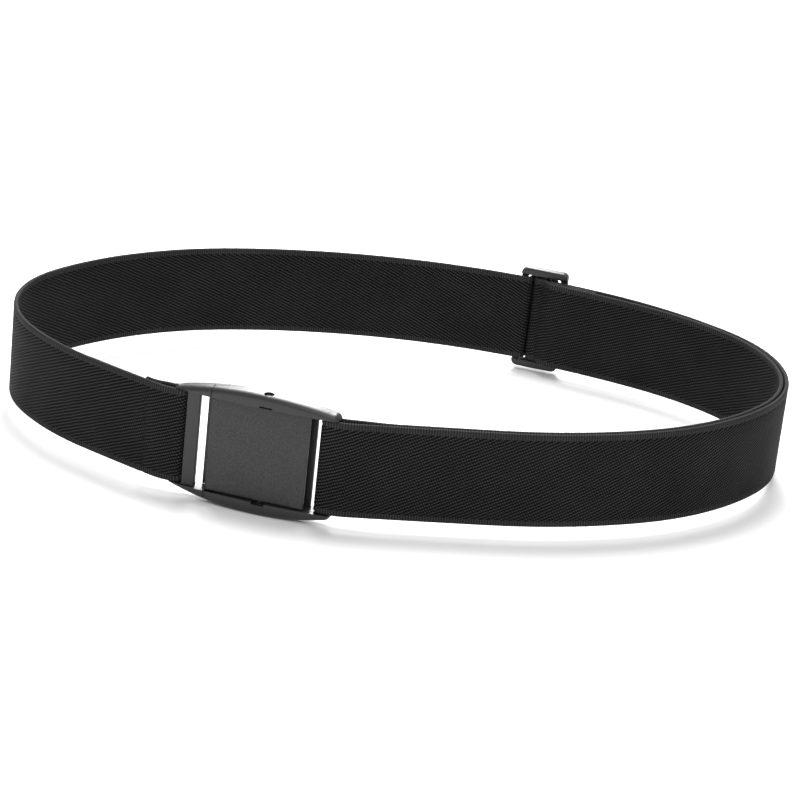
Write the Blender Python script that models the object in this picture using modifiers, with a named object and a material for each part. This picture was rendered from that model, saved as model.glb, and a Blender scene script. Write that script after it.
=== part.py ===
"""An adjustable elastic waist belt with a press-to-open plastic buckle, standing on edge as a closed loop.

The belt is laid out around its mid-height plane, z = 0. X runs along the buckle, from the left edge of
the release plate. Y runs from the front face of that plate into the loop. An empty then lifts the whole
belt on to the floor and centres it.
"""

import math

import bmesh
import bpy
import numpy as np
from mathutils import Vector

MM = 0.001

# Webbing
WEBBING_WIDTH = 38 * MM
WEBBING_THICKNESS = 1.8 * MM
LAYER_GAP = 0.3 * MM  # between two pieces that touch
LAYER_PLAY = 0.4 * MM  # between the two layers, where the belt is double
ROUTE_STEP = math.radians(9)  # turn between two points of a bend
LONG_STEP = 12 * MM  # longest run between two points of a gentle bend
SHORT_STEP = 2.5 * MM  # and where two layers part

# Loop: length and turn of each stretch, from the crossbar of the socket round to that of the tongue.
# The two stretches in CLOSING take the length that closes the loop.
LOOP_STRETCHES = (
    ("over_socket_bar", 3.2 * MM, 0),
    ("leave_socket", 6 * MM, 22),
    ("front_right", 56 * MM, 1),
    ("front_right_bend", 61 * MM, 18),
    ("right_bend", 66 * MM, 31),
    ("right_end", 93 * MM, 79),
    ("back_right", 59 * MM, 21),
    ("back", 168 * MM, 41),
    ("back_left", 92 * MM, 39),
    ("left_end", 72 * MM, 66),
    ("left_bend", 41 * MM, 21),
    ("front_left", 36 * MM, 2),
    ("leave_tongue", 6 * MM, 19),
    ("over_tongue_bar", 3.2 * MM, 0),
)
CLOSING = ("right_end", "back")
SLIDER_STATION = 375 * MM  # along the loop from the socket's crossbar
LEFT_SPLIT = 190 * MM  # the left stretch of webbing, from the tongue's crossbar back
SOCKET_FOLD_LEG = 12 * MM
SOCKET_MERGE = 28 * MM  # where the two layers come together
TONGUE_SEAM = 14 * MM  # from the tongue's crossbar
TONGUE_TAIL = 3 * MM  # past the seam
SLIDER_SEAM = 12 * MM  # from the slider's end
SLIDER_TAIL = 2.5 * MM  # past the seam
SLIDER_LEAD = 2.5 * MM  # webbing that goes with the slider, past its other end
SLIDER_MERGE = 55 * MM
STITCH_WIDTH = 1.2 * MM
STITCH_HEIGHT = 0.4 * MM
STITCH_MARGIN = 1.5 * MM

# Buckle
PLATE_LENGTH = 39.5 * MM
PLATE_MARGIN = 0.1 * MM  # the plate is this much lower than the webbing, at each edge
PLATE_THICKNESS = 1.6 * MM
PLATE_EDGE_RADIUS = 0.35 * MM
PLATE_LUG = 4.4 * MM
PLATE_LUG_THICKNESS = 2.6 * MM
PLATE_LUG_DEPTH = 4 * MM
PLATE_BOSS_LENGTH = 2.5 * MM
PLATE_BOSS_INSET = 2.8 * MM  # from the plate's right edge
PLATE_BOSS_HALF_HEIGHT = 4 * MM
PIVOT_OFFSET = 2.25 * MM  # to the right of the plate's middle
PIN_RADIUS = 0.8 * MM
PIN_HEAD_RADIUS = 1.7 * MM
PIN_HEAD_LENGTH = 0.9 * MM
PIN_ENGAGEMENT = 3 * MM  # how far the pin reaches into the plate's lug
PIN_CLEARANCE = 0.15 * MM
PIN_WALL = 0.6 * MM  # between the arm's channel and the seat of the pin's head
RAIL_WALL = 2.5 * MM  # above the arm's channel, at the crown
RAIL_BARREL_RADIUS = 140 * MM
RAIL_FRONT = -1.9 * MM
RAIL_FRONT_RADIUS = 240 * MM
RAIL_BACK_MARGIN = 0.2 * MM  # behind the webbing's fold
RAIL_ROUNDING = 2.8 * MM
RAIL_OUTLINE_STEP = 6 * MM
SOCKET_TIP = 1.8 * MM  # rail past the crossbar
TONGUE_TIP = 0.3 * MM
SEAM_GAP = 0.3 * MM
SHOULDER_LENGTH = 5 * MM  # the tongue's rail reaches this far behind the socket's
SHOULDER_FRONT = 3 * MM
SHOULDER_RISE = 0.2 * MM  # above the arm's channel
BAR_HALF_THICKNESS = 0.9 * MM
BAR_WIDTH = 2.6 * MM
WEBBING_FRONT = 0.5 * MM  # the webbing's face lies this far behind the plate's
SOCKET_FOLD_ROOM = 3.4 * MM  # from the plate to the fold
TONGUE_FOLD_ROOM = 0.3 * MM  # from the flat bar to the fold
FLOOR_LIP = 3.1 * MM
FLOOR_MARGIN = 1.5 * MM  # past the plate
FLOOR_THICKNESS = 1 * MM
FLOOR_INSET = 0.1 * MM  # behind the rails' end and back faces
WINDOW_LEFT = 7 * MM
WINDOW_MARGIN = 1.9 * MM  # from the plate's right edge
WINDOW_HALF_HEIGHT = 6 * MM
FLAT_BAR_RIGHT = -5 * MM
FLAT_BAR_WIDTH = 5.2 * MM
FLAT_BAR_FRONT = 0.9 * MM
FLAT_BAR_THICKNESS = 2.4 * MM
STEP_MARGIN = 0.1 * MM  # from the flat bar to the step where the rail widens
ARM_HEIGHT = 2.2 * MM
ARM_THICKNESS = 1.8 * MM
ARM_BACK_WALL = 0.9 * MM  # from the arm to the floor's front
ARM_ROOT = 3 * MM  # how far the arm reaches into the tongue's rail, past the flat bar's right edge
CATCH_WIDTH = 3 * MM
CATCH_THICKNESS = 1.3 * MM
CATCH_TO_BOSS = 1.5 * MM
ARM_TIP = 0.2 * MM  # past the catch bar
CHANNEL_END_CLEARANCE = 1 * MM
RECESS_WIDTH = 5 * MM
RECESS_DEPTH = 0.9 * MM
SPRING_LEFT = 3 * MM
SPRING_THICKNESS = 0.7 * MM
SPRING_HALF_HEIGHT = 5 * MM
TOOTH_LENGTH = 1.5 * MM
TOOTH_RAMP = 3 * MM
TOOTH_BITE = 0.8 * MM

# Slider
SLIDER_BAR = 3 * MM
SLIDER_SIDE = 3.4 * MM
SLIDER_HALF_THICKNESS = 1.1 * MM
SLIDER_SLOT_MARGIN = 0.6 * MM  # beyond the webbing's edge
SLIDER_SLOT_PLAY = 0.7 * MM  # between the webbing in the slot and the bar
SLIDER_CORNER_RADIUS = 2.4 * MM
SLIDER_EDGE_RADIUS = 0.5 * MM

# Worked out from the above: across the webbing
HALF_WEBBING = WEBBING_THICKNESS / 2
HALF_WIDTH = WEBBING_WIDTH / 2
LAYER_SPACING = WEBBING_THICKNESS + LAYER_PLAY
LAYER_STEP = WEBBING_THICKNESS + LAYER_GAP
PLATE_HALF_HEIGHT = HALF_WIDTH - PLATE_MARGIN
RAIL_INNER = PLATE_HALF_HEIGHT + LAYER_GAP
POCKET = HALF_WIDTH + LAYER_GAP  # half the room for the webbing between the rails
ARM_LOW = RAIL_INNER + LAYER_GAP
CHANNEL_TOP = ARM_LOW + ARM_HEIGHT + LAYER_GAP
PIN_SHOULDER = CHANNEL_TOP + PIN_WALL
RAIL_CROWN = CHANNEL_TOP + RAIL_WALL  # half the height of the buckle

# Along the buckle
FOLD_RADIUS = BAR_HALF_THICKNESS + LAYER_GAP + HALF_WEBBING
FOLD_REACH = FOLD_RADIUS + HALF_WEBBING
SOCKET_BAR_X = PLATE_LENGTH + SOCKET_FOLD_ROOM + FOLD_REACH
FLAT_BAR_LEFT = FLAT_BAR_RIGHT - FLAT_BAR_WIDTH
TONGUE_BAR_X = FLAT_BAR_LEFT - TONGUE_FOLD_ROOM - FOLD_REACH
RAIL_RIGHT = SOCKET_BAR_X + BAR_WIDTH + SOCKET_TIP
RAIL_LEFT = TONGUE_BAR_X - BAR_WIDTH - TONGUE_TIP
RAIL_CROWN_X = PLATE_LENGTH / 2
PIVOT_X = PLATE_LENGTH / 2 + PIVOT_OFFSET
BOSS_RIGHT = PLATE_LENGTH - PLATE_BOSS_INSET
BOSS_LEFT = BOSS_RIGHT - PLATE_BOSS_LENGTH
CATCH_RIGHT = BOSS_LEFT - CATCH_TO_BOSS
CATCH_LEFT = CATCH_RIGHT - CATCH_WIDTH
FLOOR_RIGHT = PLATE_LENGTH + FLOOR_MARGIN
WINDOW_RIGHT = PLATE_LENGTH - WINDOW_MARGIN

# From the buckle's front to its back
BAR_CENTRE_Y = WEBBING_FRONT + FOLD_REACH
FRONT_LEG_Y = BAR_CENTRE_Y - FOLD_RADIUS
RAIL_BACK = BAR_CENTRE_Y + FOLD_REACH + RAIL_BACK_MARGIN
FLOOR_BACK = RAIL_BACK - FLOOR_INSET
FLOOR_FRONT = FLOOR_BACK - FLOOR_THICKNESS
SPRING_BACK = FLOOR_FRONT - LAYER_GAP
SPRING_FRONT = SPRING_BACK - SPRING_THICKNESS
CATCH_FRONT = SPRING_FRONT - LAYER_GAP - CATCH_THICKNESS
ARM_FRONT = FLOOR_FRONT - ARM_BACK_WALL - ARM_THICKNESS
PIVOT_Y = PLATE_LUG_THICKNESS / 2

# Slider
SLIDER_LAYER = SLIDER_HALF_THICKNESS + LAYER_GAP + HALF_WEBBING  # the layer that lies on the slider
SLIDER_WRAP = SLIDER_LAYER + LAYER_STEP  # radius of the running layer round the fold
SLIDER_SLOT = SLIDER_WRAP + HALF_WEBBING + SLIDER_SLOT_PLAY
SLIDER_HALF_LENGTH = 1.5 * SLIDER_BAR + SLIDER_SLOT
SLIDER_SLOT_HIGH = HALF_WIDTH + SLIDER_SLOT_MARGIN
SLIDER_HALF_HEIGHT = SLIDER_SLOT_HIGH + SLIDER_SIDE
SEAM_PLACE = SLIDER_HALF_LENGTH + SLIDER_SEAM
TAIL_PLACE = SEAM_PLACE + SLIDER_TAIL
WEAVE_RIGHT = TAIL_PLACE + 2 * MM
WEAVE_LEFT = SLIDER_HALF_LENGTH + SLIDER_LEAD
ALONG_X, ALONG_Z = "XY", "XZ"


def clear_scene():
    """Removes every object of the open scene."""
    for old in list(bpy.data.objects):
        bpy.data.objects.remove(old, do_unlink=True)


def collection(name, hidden=False):
    made = bpy.data.collections.new(name)
    made.hide_render = hidden
    bpy.context.scene.collection.children.link(made)
    return made


def material(name, colour, roughness, metallic=0.0):
    """A Principled material of one colour."""
    made = bpy.data.materials.new(name)
    made.use_nodes = True
    shader = made.node_tree.nodes["Principled BSDF"]
    shader.inputs["Base Color"].default_value = (*colour, 1)
    shader.inputs["Roughness"].default_value = roughness
    shader.inputs["Metallic"].default_value = metallic
    return made


class Bench:
    """Where the pieces are made: the collections for parts and for cutters, and the empties."""

    def __init__(self):
        self.parts = collection("adjustable_belt")
        self.cutters = collection("cutters", hidden=True)

    def link(self, name, mesh, group=None):
        made = bpy.data.objects.new(name, mesh)
        (group or self.parts).objects.link(made)
        return made

    def empty(self, name, location, parent=None):
        made = self.link(name, None)
        made.location = location
        made.parent = parent
        return made

    def box(self, name, low, high, group=None):
        """A box between two corners."""
        shape = bmesh.new()
        bmesh.ops.create_cube(shape, size=1)
        size = [b - a for a, b in zip(low, high)]
        middle = [(a + b) / 2 for a, b in zip(low, high)]
        bmesh.ops.scale(shape, verts=shape.verts, vec=size)
        bmesh.ops.translate(shape, verts=shape.verts, vec=middle)
        return self.link(name, mesh_of(name, shape), group)

    def rod(self, name, radius, low, high, x, y, group=None):
        """An upright round bar between two heights."""
        shape = bmesh.new()
        bmesh.ops.create_cone(
            shape, cap_ends=True, segments=24, radius1=radius, radius2=radius, depth=high - low
        )
        bmesh.ops.translate(shape, verts=shape.verts, vec=(x, y, (low + high) / 2))
        return self.link(name, mesh_of(name, shape), group)

    def slab(self, name, outlines, near, far, plane=ALONG_X, group=None):
        """Flat outlines, the first with the others as holes, given a thickness across their plane."""
        flat = bpy.data.curves.new(name, "CURVE")
        flat.dimensions = "2D"
        flat.fill_mode = "BOTH"
        flat.extrude = (far - near) / 2
        for outline in outlines:
            spline = flat.splines.new("POLY")
            spline.points.add(len(outline) - 1)
            for point, (a, b) in zip(spline.points, outline):
                point.co = (a, b, 0, 1)
            spline.use_cyclic_u = True
        guide = self.link(name + "_outline", flat, group)
        guide.location.z = (far + near) / 2
        if plane == ALONG_Z:  # outline in X and Z, thickness along Y
            guide.rotation_euler.x = math.pi / 2
            guide.location = (0, (far + near) / 2, 0)
        bpy.context.view_layer.update()
        graph = bpy.context.evaluated_depsgraph_get()
        mesh = bpy.data.meshes.new_from_object(guide.evaluated_get(graph))
        mesh.transform(guide.matrix_world)
        bpy.data.objects.remove(guide)
        shape = bmesh.new()
        shape.from_mesh(mesh)
        bmesh.ops.remove_doubles(shape, verts=shape.verts, dist=1e-6)
        bmesh.ops.recalc_face_normals(shape, faces=shape.faces)
        shape.to_mesh(mesh)
        shape.free()
        mesh.name = name
        return self.link(name, mesh, group)


def mesh_of(name, shape):
    mesh = bpy.data.meshes.new(name)
    shape.to_mesh(mesh)
    shape.free()
    return mesh


def bake(piece):
    """Replaces the piece's mesh by what its modifiers make of it."""
    bpy.context.view_layer.update()
    graph = bpy.context.evaluated_depsgraph_get()
    made = bpy.data.meshes.new_from_object(piece.evaluated_get(graph))
    made.name = piece.name
    piece.modifiers.clear()
    piece.data = made


def combine(piece, others, operation):
    """Joins or cuts the piece with the others, which are used up."""
    for other in others:
        step = piece.modifiers.new(operation.lower(), "BOOLEAN")
        step.operation = operation
        step.object = other
        bake(piece)
        bpy.data.objects.remove(other)


def round_edges(piece, width, segments=2, angle=50):
    """Rounds the piece's sharp edges and leaves it in flat triangles, which cut cleanly."""
    bevel = piece.modifiers.new("rounding", "BEVEL")
    bevel.width = width
    bevel.segments = segments
    bevel.limit_method = "ANGLE"
    bevel.angle_limit = math.radians(angle)
    piece.modifiers.new("flat_faces", "TRIANGULATE")
    bake(piece)


def finish(piece, look, parent):
    """Gives the piece its material, its smooth shading and its parent, and leaves it where it is."""
    piece.data.shade_smooth()
    piece.data.set_sharp_from_angle(angle=math.radians(35))
    piece.data.materials.clear()
    piece.data.materials.append(look)
    bpy.context.view_layer.update()
    piece.data.transform(parent.matrix_world.inverted() @ piece.matrix_world)
    piece.location = (0, 0, 0)
    piece.rotation_euler = (0, 0, 0)
    piece.parent = parent
    return piece


class Loop:
    """The belt's line in plan: stretches of constant bend that follow on from each other and close."""

    def __init__(self):
        self.start = np.array([SOCKET_BAR_X, FRONT_LEG_Y])
        end = np.array([TONGUE_BAR_X, FRONT_LEG_Y])
        lengths = {name: length for name, length, _ in LOOP_STRETCHES}
        turns = {name: math.radians(turn) for name, _, turn in LOOP_STRETCHES}
        heading = 0.0
        chord = {}
        for name, turn in turns.items():
            chord[name] = self.chord(1.0, heading, turn)
            heading += turn
        fixed = sum(chord[name] * lengths[name] for name in lengths if name not in CLOSING)
        pair = np.column_stack([chord[name] for name in CLOSING])
        for name, length in zip(CLOSING, np.linalg.solve(pair, end - self.start - fixed)):
            lengths[name] = length
        self.stretches = [(lengths[name], turns[name]) for name in lengths]
        self.length = sum(lengths.values())

    @staticmethod
    def chord(length, heading, turn):
        """The step across a stretch that starts at a heading and turns evenly."""
        if abs(turn) < 1e-9:
            return length * np.array([math.cos(heading), math.sin(heading)])
        radius = length / turn
        return radius * np.array([
            math.sin(heading + turn) - math.sin(heading),
            math.cos(heading) - math.cos(heading + turn),
        ])

    def at(self, station, inwards=0.0):
        """The point at a distance along the loop, moved towards the inside, and the heading there."""
        point = self.start.copy()
        heading = 0.0
        left = min(max(station, 0.0), self.length)
        for length, turn in self.stretches:
            share = min(left / length, 1.0)
            point = point + self.chord(length * share, heading, turn * share)
            heading += turn * share
            left -= length * share
            if left <= 1e-12:
                break
        normal = np.array([-math.sin(heading), math.cos(heading)])
        return point + normal * inwards, heading

    def stations(self, first, last, longest):
        """Distances from first to last, close together where the belt bends."""
        marks = [first]
        place = 0.0
        for length, turn in self.stretches:
            steps = max(1, math.ceil(turn / ROUTE_STEP), math.ceil(length / longest))
            marks += [place + length * i / steps for i in range(steps)]
            place += length
        marks = [mark for mark in marks if first + MM < mark < last - MM]
        return [first, *marks, last]

    def run(self, first, last, inwards=lambda station: 0.0, longest=LONG_STEP):
        """Points along the loop, moved inwards by an amount that may change along it."""
        return [self.at(mark, inwards(mark))[0] for mark in self.stations(first, last, longest)]


def rounded(corners):
    """A route through corners (x, y, radius), each rounded by its own radius."""
    route = [np.array(corners[0][:2])]
    for before, corner, after in zip(corners, corners[1:], corners[2:]):
        here = np.array(corner[:2])
        back = np.array(before[:2]) - here
        ahead = np.array(after[:2]) - here
        back /= np.linalg.norm(back)
        ahead /= np.linalg.norm(ahead)
        half = math.acos(max(-1.0, min(1.0, float(back @ ahead)))) / 2
        reach = corner[2] / math.tan(half)
        middle = here + (back + ahead) / np.linalg.norm(back + ahead) * corner[2] / math.sin(half)
        first = here + back * reach - middle
        last = here + ahead * reach - middle
        sweep = math.atan2(first[0] * last[1] - first[1] * last[0], float(first @ last))
        steps = max(2, math.ceil(abs(sweep) / math.radians(18)))
        for i in range(steps + 1):
            angle = sweep * i / steps
            turned = (
                first[0] * math.cos(angle) - first[1] * math.sin(angle),
                first[0] * math.sin(angle) + first[1] * math.cos(angle),
            )
            route.append(middle + turned)
    route.append(np.array(corners[-1][:2]))
    return route


def half_turn(centre, first_angle, radius, clockwise):
    """Points of a half circle."""
    steps = 10
    sign = -1 if clockwise else 1
    angles = [first_angle + sign * math.pi * i / steps for i in range(steps + 1)]
    return [np.array([centre[0] + radius * math.cos(a), centre[1] + radius * math.sin(a)]) for a in angles]


def ribbon_outline(route):
    """The plan outline of webbing that follows a route."""
    tidy = [route[0]]
    for point in route[1:]:
        if np.linalg.norm(point - tidy[-1]) > 0.05 * MM:
            tidy.append(point)
    left, right = [], []
    for i, point in enumerate(tidy):
        before = tidy[i] - tidy[i - 1] if i else tidy[1] - tidy[0]
        after = tidy[i + 1] - tidy[i] if i + 1 < len(tidy) else before
        before = before / np.linalg.norm(before)
        after = after / np.linalg.norm(after)
        along = (before + after) / np.linalg.norm(before + after)
        reach = HALF_WEBBING / max(float(along @ before), 0.5)
        side = np.array([-along[1], along[0]]) * reach
        left.append(point + side)
        right.append(point - side)
    return left + right[::-1]


def ease(station, first, last, start, end):
    """A value that changes gently from start to end between two stations."""
    share = min(max((station - first) / (last - first), 0.0), 1.0)
    return start + (end - start) * share * share * (3 - 2 * share)


def socket_inset(station):
    """How far inside the outer layer the inner one runs, near the socket."""
    return ease(station, SOCKET_FOLD_LEG / 2, SOCKET_MERGE, 2 * FOLD_RADIUS, LAYER_SPACING)


def barrel(x):
    """Half the height of the buckle at x."""
    return RAIL_CROWN - RAIL_BARREL_RADIUS + math.sqrt(RAIL_BARREL_RADIUS**2 - (x - RAIL_CROWN_X) ** 2)


def bow(x):
    """The front of the rails at x."""
    return RAIL_FRONT + RAIL_FRONT_RADIUS - math.sqrt(RAIL_FRONT_RADIUS**2 - (x - RAIL_CROWN_X) ** 2)


def rail_blank(bench, name):
    """One whole upper rail, tongue and socket in one, before it is cut at the seam."""
    root = RAIL_INNER - 2 * RAIL_ROUNDING
    rail = bench.box(name, (RAIL_LEFT, RAIL_FRONT, root), (RAIL_RIGHT, RAIL_BACK, RAIL_CROWN))
    shape = bmesh.new()
    shape.from_mesh(rail.data)
    steps = math.ceil((RAIL_RIGHT - RAIL_LEFT) / RAIL_OUTLINE_STEP / 2)
    spread = [RAIL_CROWN_X + RAIL_OUTLINE_STEP * (i + 0.5) for i in range(-steps, steps)]
    for place in [x for x in spread if RAIL_LEFT + RAIL_ROUNDING < x < RAIL_RIGHT - RAIL_ROUNDING]:
        whole = [*shape.verts, *shape.edges, *shape.faces]
        bmesh.ops.bisect_plane(shape, geom=whole, plane_co=(place, 0, 0), plane_no=(1, 0, 0))
    for vertex in shape.verts:
        if vertex.co.z > RAIL_INNER:
            vertex.co.z = barrel(vertex.co.x)
        if vertex.co.y < 0:
            vertex.co.y = bow(vertex.co.x)
    shape.to_mesh(rail.data)
    shape.free()
    round_edges(rail, RAIL_ROUNDING, segments=3, angle=60)
    reach = RAIL_CROWN + 5 * MM
    inside = bench.box(
        "between_rails", (RAIL_LEFT - MM, -reach, 0), (RAIL_RIGHT + MM, reach, RAIL_INNER), bench.cutters
    )
    combine(rail, [inside], "DIFFERENCE")
    return rail


def below(piece):
    """Turns an upper piece into the matching lower one."""
    shape = bmesh.new()
    shape.from_mesh(piece.data)
    bmesh.ops.scale(shape, verts=shape.verts, vec=(1, 1, -1))
    bmesh.ops.reverse_faces(shape, faces=shape.faces)
    shape.to_mesh(piece.data)
    shape.free()
    return piece


def on_both_sides(make):
    """The upper piece that make gives, and its lower match."""
    return [make(), below(make())]


def crossbar(bench, name, x, width):
    """A bar from rail to rail that the webbing is folded round. Its near edge is at x."""
    low = (min(x, x + width), BAR_CENTRE_Y - BAR_HALF_THICKNESS, -POCKET - MM)
    high = (max(x, x + width), BAR_CENTRE_Y + BAR_HALF_THICKNESS, POCKET + MM)
    return bench.box(name, low, high)


def shoulder_box(bench, name, grow):
    """The back corner of the rail where the tongue reaches past the seam."""
    low = (-2 * MM, SHOULDER_FRONT - grow, CHANNEL_TOP + SHOULDER_RISE - grow)
    high = (SHOULDER_LENGTH + grow, RAIL_BACK + MM, RAIL_CROWN + MM)
    return bench.box(name, low, high, bench.cutters)


def socket_rail(bench):
    rail = rail_blank(bench, "rail")
    reach = RAIL_CROWN + 5 * MM
    cuts = [
        bench.box("tongue_side", (RAIL_LEFT - MM, -reach, 0), (0, reach, reach), bench.cutters),
        shoulder_box(bench, "shoulder_room", SEAM_GAP),
        bench.box(
            "arm_channel",
            (-MM, ARM_FRONT - LAYER_GAP, 0),
            (CATCH_RIGHT + CHANNEL_END_CLEARANCE, ARM_FRONT + ARM_THICKNESS + LAYER_GAP, CHANNEL_TOP),
            bench.cutters,
        ),
        bench.box(
            "webbing_room", (FLOOR_RIGHT + MM, -reach, 0), (RAIL_RIGHT + MM, reach, POCKET), bench.cutters
        ),
        bench.box(
            "pivot_recess",
            (PIVOT_X - RECESS_WIDTH / 2, RAIL_FRONT - MM, 0),
            (PIVOT_X + RECESS_WIDTH / 2, ARM_FRONT - LAYER_GAP - MM, RAIL_INNER + RECESS_DEPTH),
            bench.cutters,
        ),
        bench.rod(
            "pin_bore", PIN_RADIUS + PIN_CLEARANCE, 0, PIN_SHOULDER + MM, PIVOT_X, PIVOT_Y, bench.cutters
        ),
        bench.rod(
            "pin_head_bore", PIN_HEAD_RADIUS + LAYER_GAP, PIN_SHOULDER, reach, PIVOT_X, PIVOT_Y, bench.cutters
        ),
    ]
    combine(rail, cuts, "DIFFERENCE")
    return rail


def socket(bench):
    """The socket half: two rails, the floor behind the latch, and the crossbar for the webbing."""
    root = RAIL_INNER + MM
    lip = PLATE_HALF_HEIGHT
    outline = [
        (-FLOOR_LIP, -lip),
        (FLOOR_INSET, -lip),
        (FLOOR_INSET, -root),
        (FLOOR_RIGHT, -root),
        (FLOOR_RIGHT, root),
        (FLOOR_INSET, root),
        (FLOOR_INSET, lip),
        (-FLOOR_LIP, lip),
    ]
    window = [
        (WINDOW_LEFT, -WINDOW_HALF_HEIGHT),
        (WINDOW_RIGHT, -WINDOW_HALF_HEIGHT),
        (WINDOW_RIGHT, WINDOW_HALF_HEIGHT),
        (WINDOW_LEFT, WINDOW_HALF_HEIGHT),
    ]
    frame = bench.slab("socket_frame", [outline, window], FLOOR_FRONT, FLOOR_BACK, ALONG_Z)
    bar = crossbar(bench, "socket_bar", SOCKET_BAR_X, BAR_WIDTH)
    combine(frame, [*on_both_sides(lambda: socket_rail(bench)), bar], "UNION")
    return frame


def tongue_rail(bench):
    """The left end of the rail, with its shoulder and the arm that runs into the socket."""
    rail = rail_blank(bench, "rail")
    reach = RAIL_CROWN + 5 * MM
    socket_side = bench.box(
        "socket_side", (-SEAM_GAP, -reach, 0), (RAIL_RIGHT + MM, reach, reach), bench.cutters
    )
    kept = shoulder_box(bench, "shoulder", 0)
    combine(socket_side, [kept], "DIFFERENCE")
    room_end = FLAT_BAR_LEFT - STEP_MARGIN
    webbing_room = bench.box(
        "webbing_room", (RAIL_LEFT - MM, -reach, 0), (room_end, reach, POCKET), bench.cutters
    )
    combine(rail, [socket_side, webbing_room], "DIFFERENCE")
    arm = bench.box(
        "arm",
        (FLAT_BAR_RIGHT - ARM_ROOT, ARM_FRONT, ARM_LOW),
        (CATCH_RIGHT + ARM_TIP, ARM_FRONT + ARM_THICKNESS, ARM_LOW + ARM_HEIGHT),
    )
    combine(rail, [arm], "UNION")
    return rail


def tongue(bench):
    """The tongue half: a flat bar, a crossbar for the webbing, and two arms joined by the catch bar."""
    frame = bench.box(
        "tongue_frame",
        (FLAT_BAR_LEFT, FLAT_BAR_FRONT, -RAIL_INNER - MM),
        (FLAT_BAR_RIGHT, FLAT_BAR_FRONT + FLAT_BAR_THICKNESS, RAIL_INNER + MM),
    )
    catch_end = ARM_LOW + MM
    catch = bench.box(
        "catch",
        (CATCH_LEFT, CATCH_FRONT, -catch_end),
        (CATCH_RIGHT, CATCH_FRONT + CATCH_THICKNESS, catch_end),
    )
    bar = crossbar(bench, "tongue_bar", TONGUE_BAR_X, -BAR_WIDTH)
    combine(frame, [*on_both_sides(lambda: tongue_rail(bench)), bar, catch], "UNION")
    return frame


def release_plate(bench):
    """The plate that rocks on the two pins, with a lug at each pin and a boss over the spring."""
    plate = bench.box(
        "release_plate", (0, 0, -PLATE_HALF_HEIGHT), (PLATE_LENGTH, PLATE_THICKNESS, PLATE_HALF_HEIGHT)
    )
    round_edges(plate, PLATE_EDGE_RADIUS)
    boss = bench.box(
        "boss",
        (BOSS_LEFT, PLATE_THICKNESS / 2, -PLATE_BOSS_HALF_HEIGHT),
        (BOSS_RIGHT, SPRING_FRONT - LAYER_GAP, PLATE_BOSS_HALF_HEIGHT),
    )

    def lug():
        high = PLATE_HALF_HEIGHT - PLATE_EDGE_RADIUS
        return bench.box(
            "lug",
            (PIVOT_X - PLATE_LUG / 2, PLATE_THICKNESS / 2, high - PLATE_LUG_DEPTH),
            (PIVOT_X + PLATE_LUG / 2, PLATE_LUG_THICKNESS, high),
        )

    def bore():
        low = PLATE_HALF_HEIGHT - PIN_ENGAGEMENT - LAYER_GAP
        top = PLATE_HALF_HEIGHT + MM
        return bench.rod("bore", PIN_RADIUS + PIN_CLEARANCE, low, top, PIVOT_X, PIVOT_Y, bench.cutters)

    combine(plate, [boss, *on_both_sides(lug)], "UNION")
    combine(plate, on_both_sides(bore), "DIFFERENCE")
    return plate


def hinge_pin(bench, name):
    """A headed pin through the rail into the plate's lug."""
    seat = PIN_SHOULDER + PIN_CLEARANCE
    pin = bench.rod(name, PIN_RADIUS, PLATE_HALF_HEIGHT - PIN_ENGAGEMENT, seat + MM / 2, PIVOT_X, PIVOT_Y)
    head = bench.rod("head", PIN_HEAD_RADIUS, seat, seat + PIN_HEAD_LENGTH, PIVOT_X, PIVOT_Y)
    combine(pin, [head], "UNION")
    return pin


def latch_spring(bench):
    """A leaf under the plate whose tooth stands behind the catch bar."""
    tooth_right = CATCH_LEFT - LAYER_GAP
    tooth_left = tooth_right - TOOTH_LENGTH
    tip = CATCH_FRONT + CATCH_THICKNESS - TOOTH_BITE
    right = BOSS_RIGHT + LAYER_GAP
    profile = [
        (SPRING_LEFT, SPRING_FRONT),
        (tooth_left - TOOTH_RAMP, SPRING_FRONT),
        (tooth_left, tip),
        (tooth_right, tip),
        (tooth_right, SPRING_FRONT),
        (right, SPRING_FRONT),
        (right, SPRING_BACK),
        (SPRING_LEFT, SPRING_BACK),
    ]
    return bench.slab("latch_spring", [profile], -SPRING_HALF_HEIGHT, SPRING_HALF_HEIGHT)


def slider(bench):
    """The three-bar slider, about its own centre: X along the belt, Y into the loop."""
    length, height = SLIDER_HALF_LENGTH, SLIDER_HALF_HEIGHT
    corners = [(x, z, SLIDER_CORNER_RADIUS) for x, z in
               ((length, -height), (length, height), (-length, height), (-length, -height))]
    outline = rounded([(0, -height), *corners, (0, -height)])[:-1]
    holes = []
    for side in (-1, 1):
        near = side * SLIDER_BAR / 2
        low, high = sorted((near, near + side * SLIDER_SLOT))
        top = SLIDER_SLOT_HIGH
        holes.append([(low, -top), (high, -top), (high, top), (low, top)])
    frame = bench.slab(
        "slider_frame", [outline, *holes], -SLIDER_HALF_THICKNESS, SLIDER_HALF_THICKNESS, ALONG_Z
    )
    round_edges(frame, SLIDER_EDGE_RADIUS, angle=60)
    return frame


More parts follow.
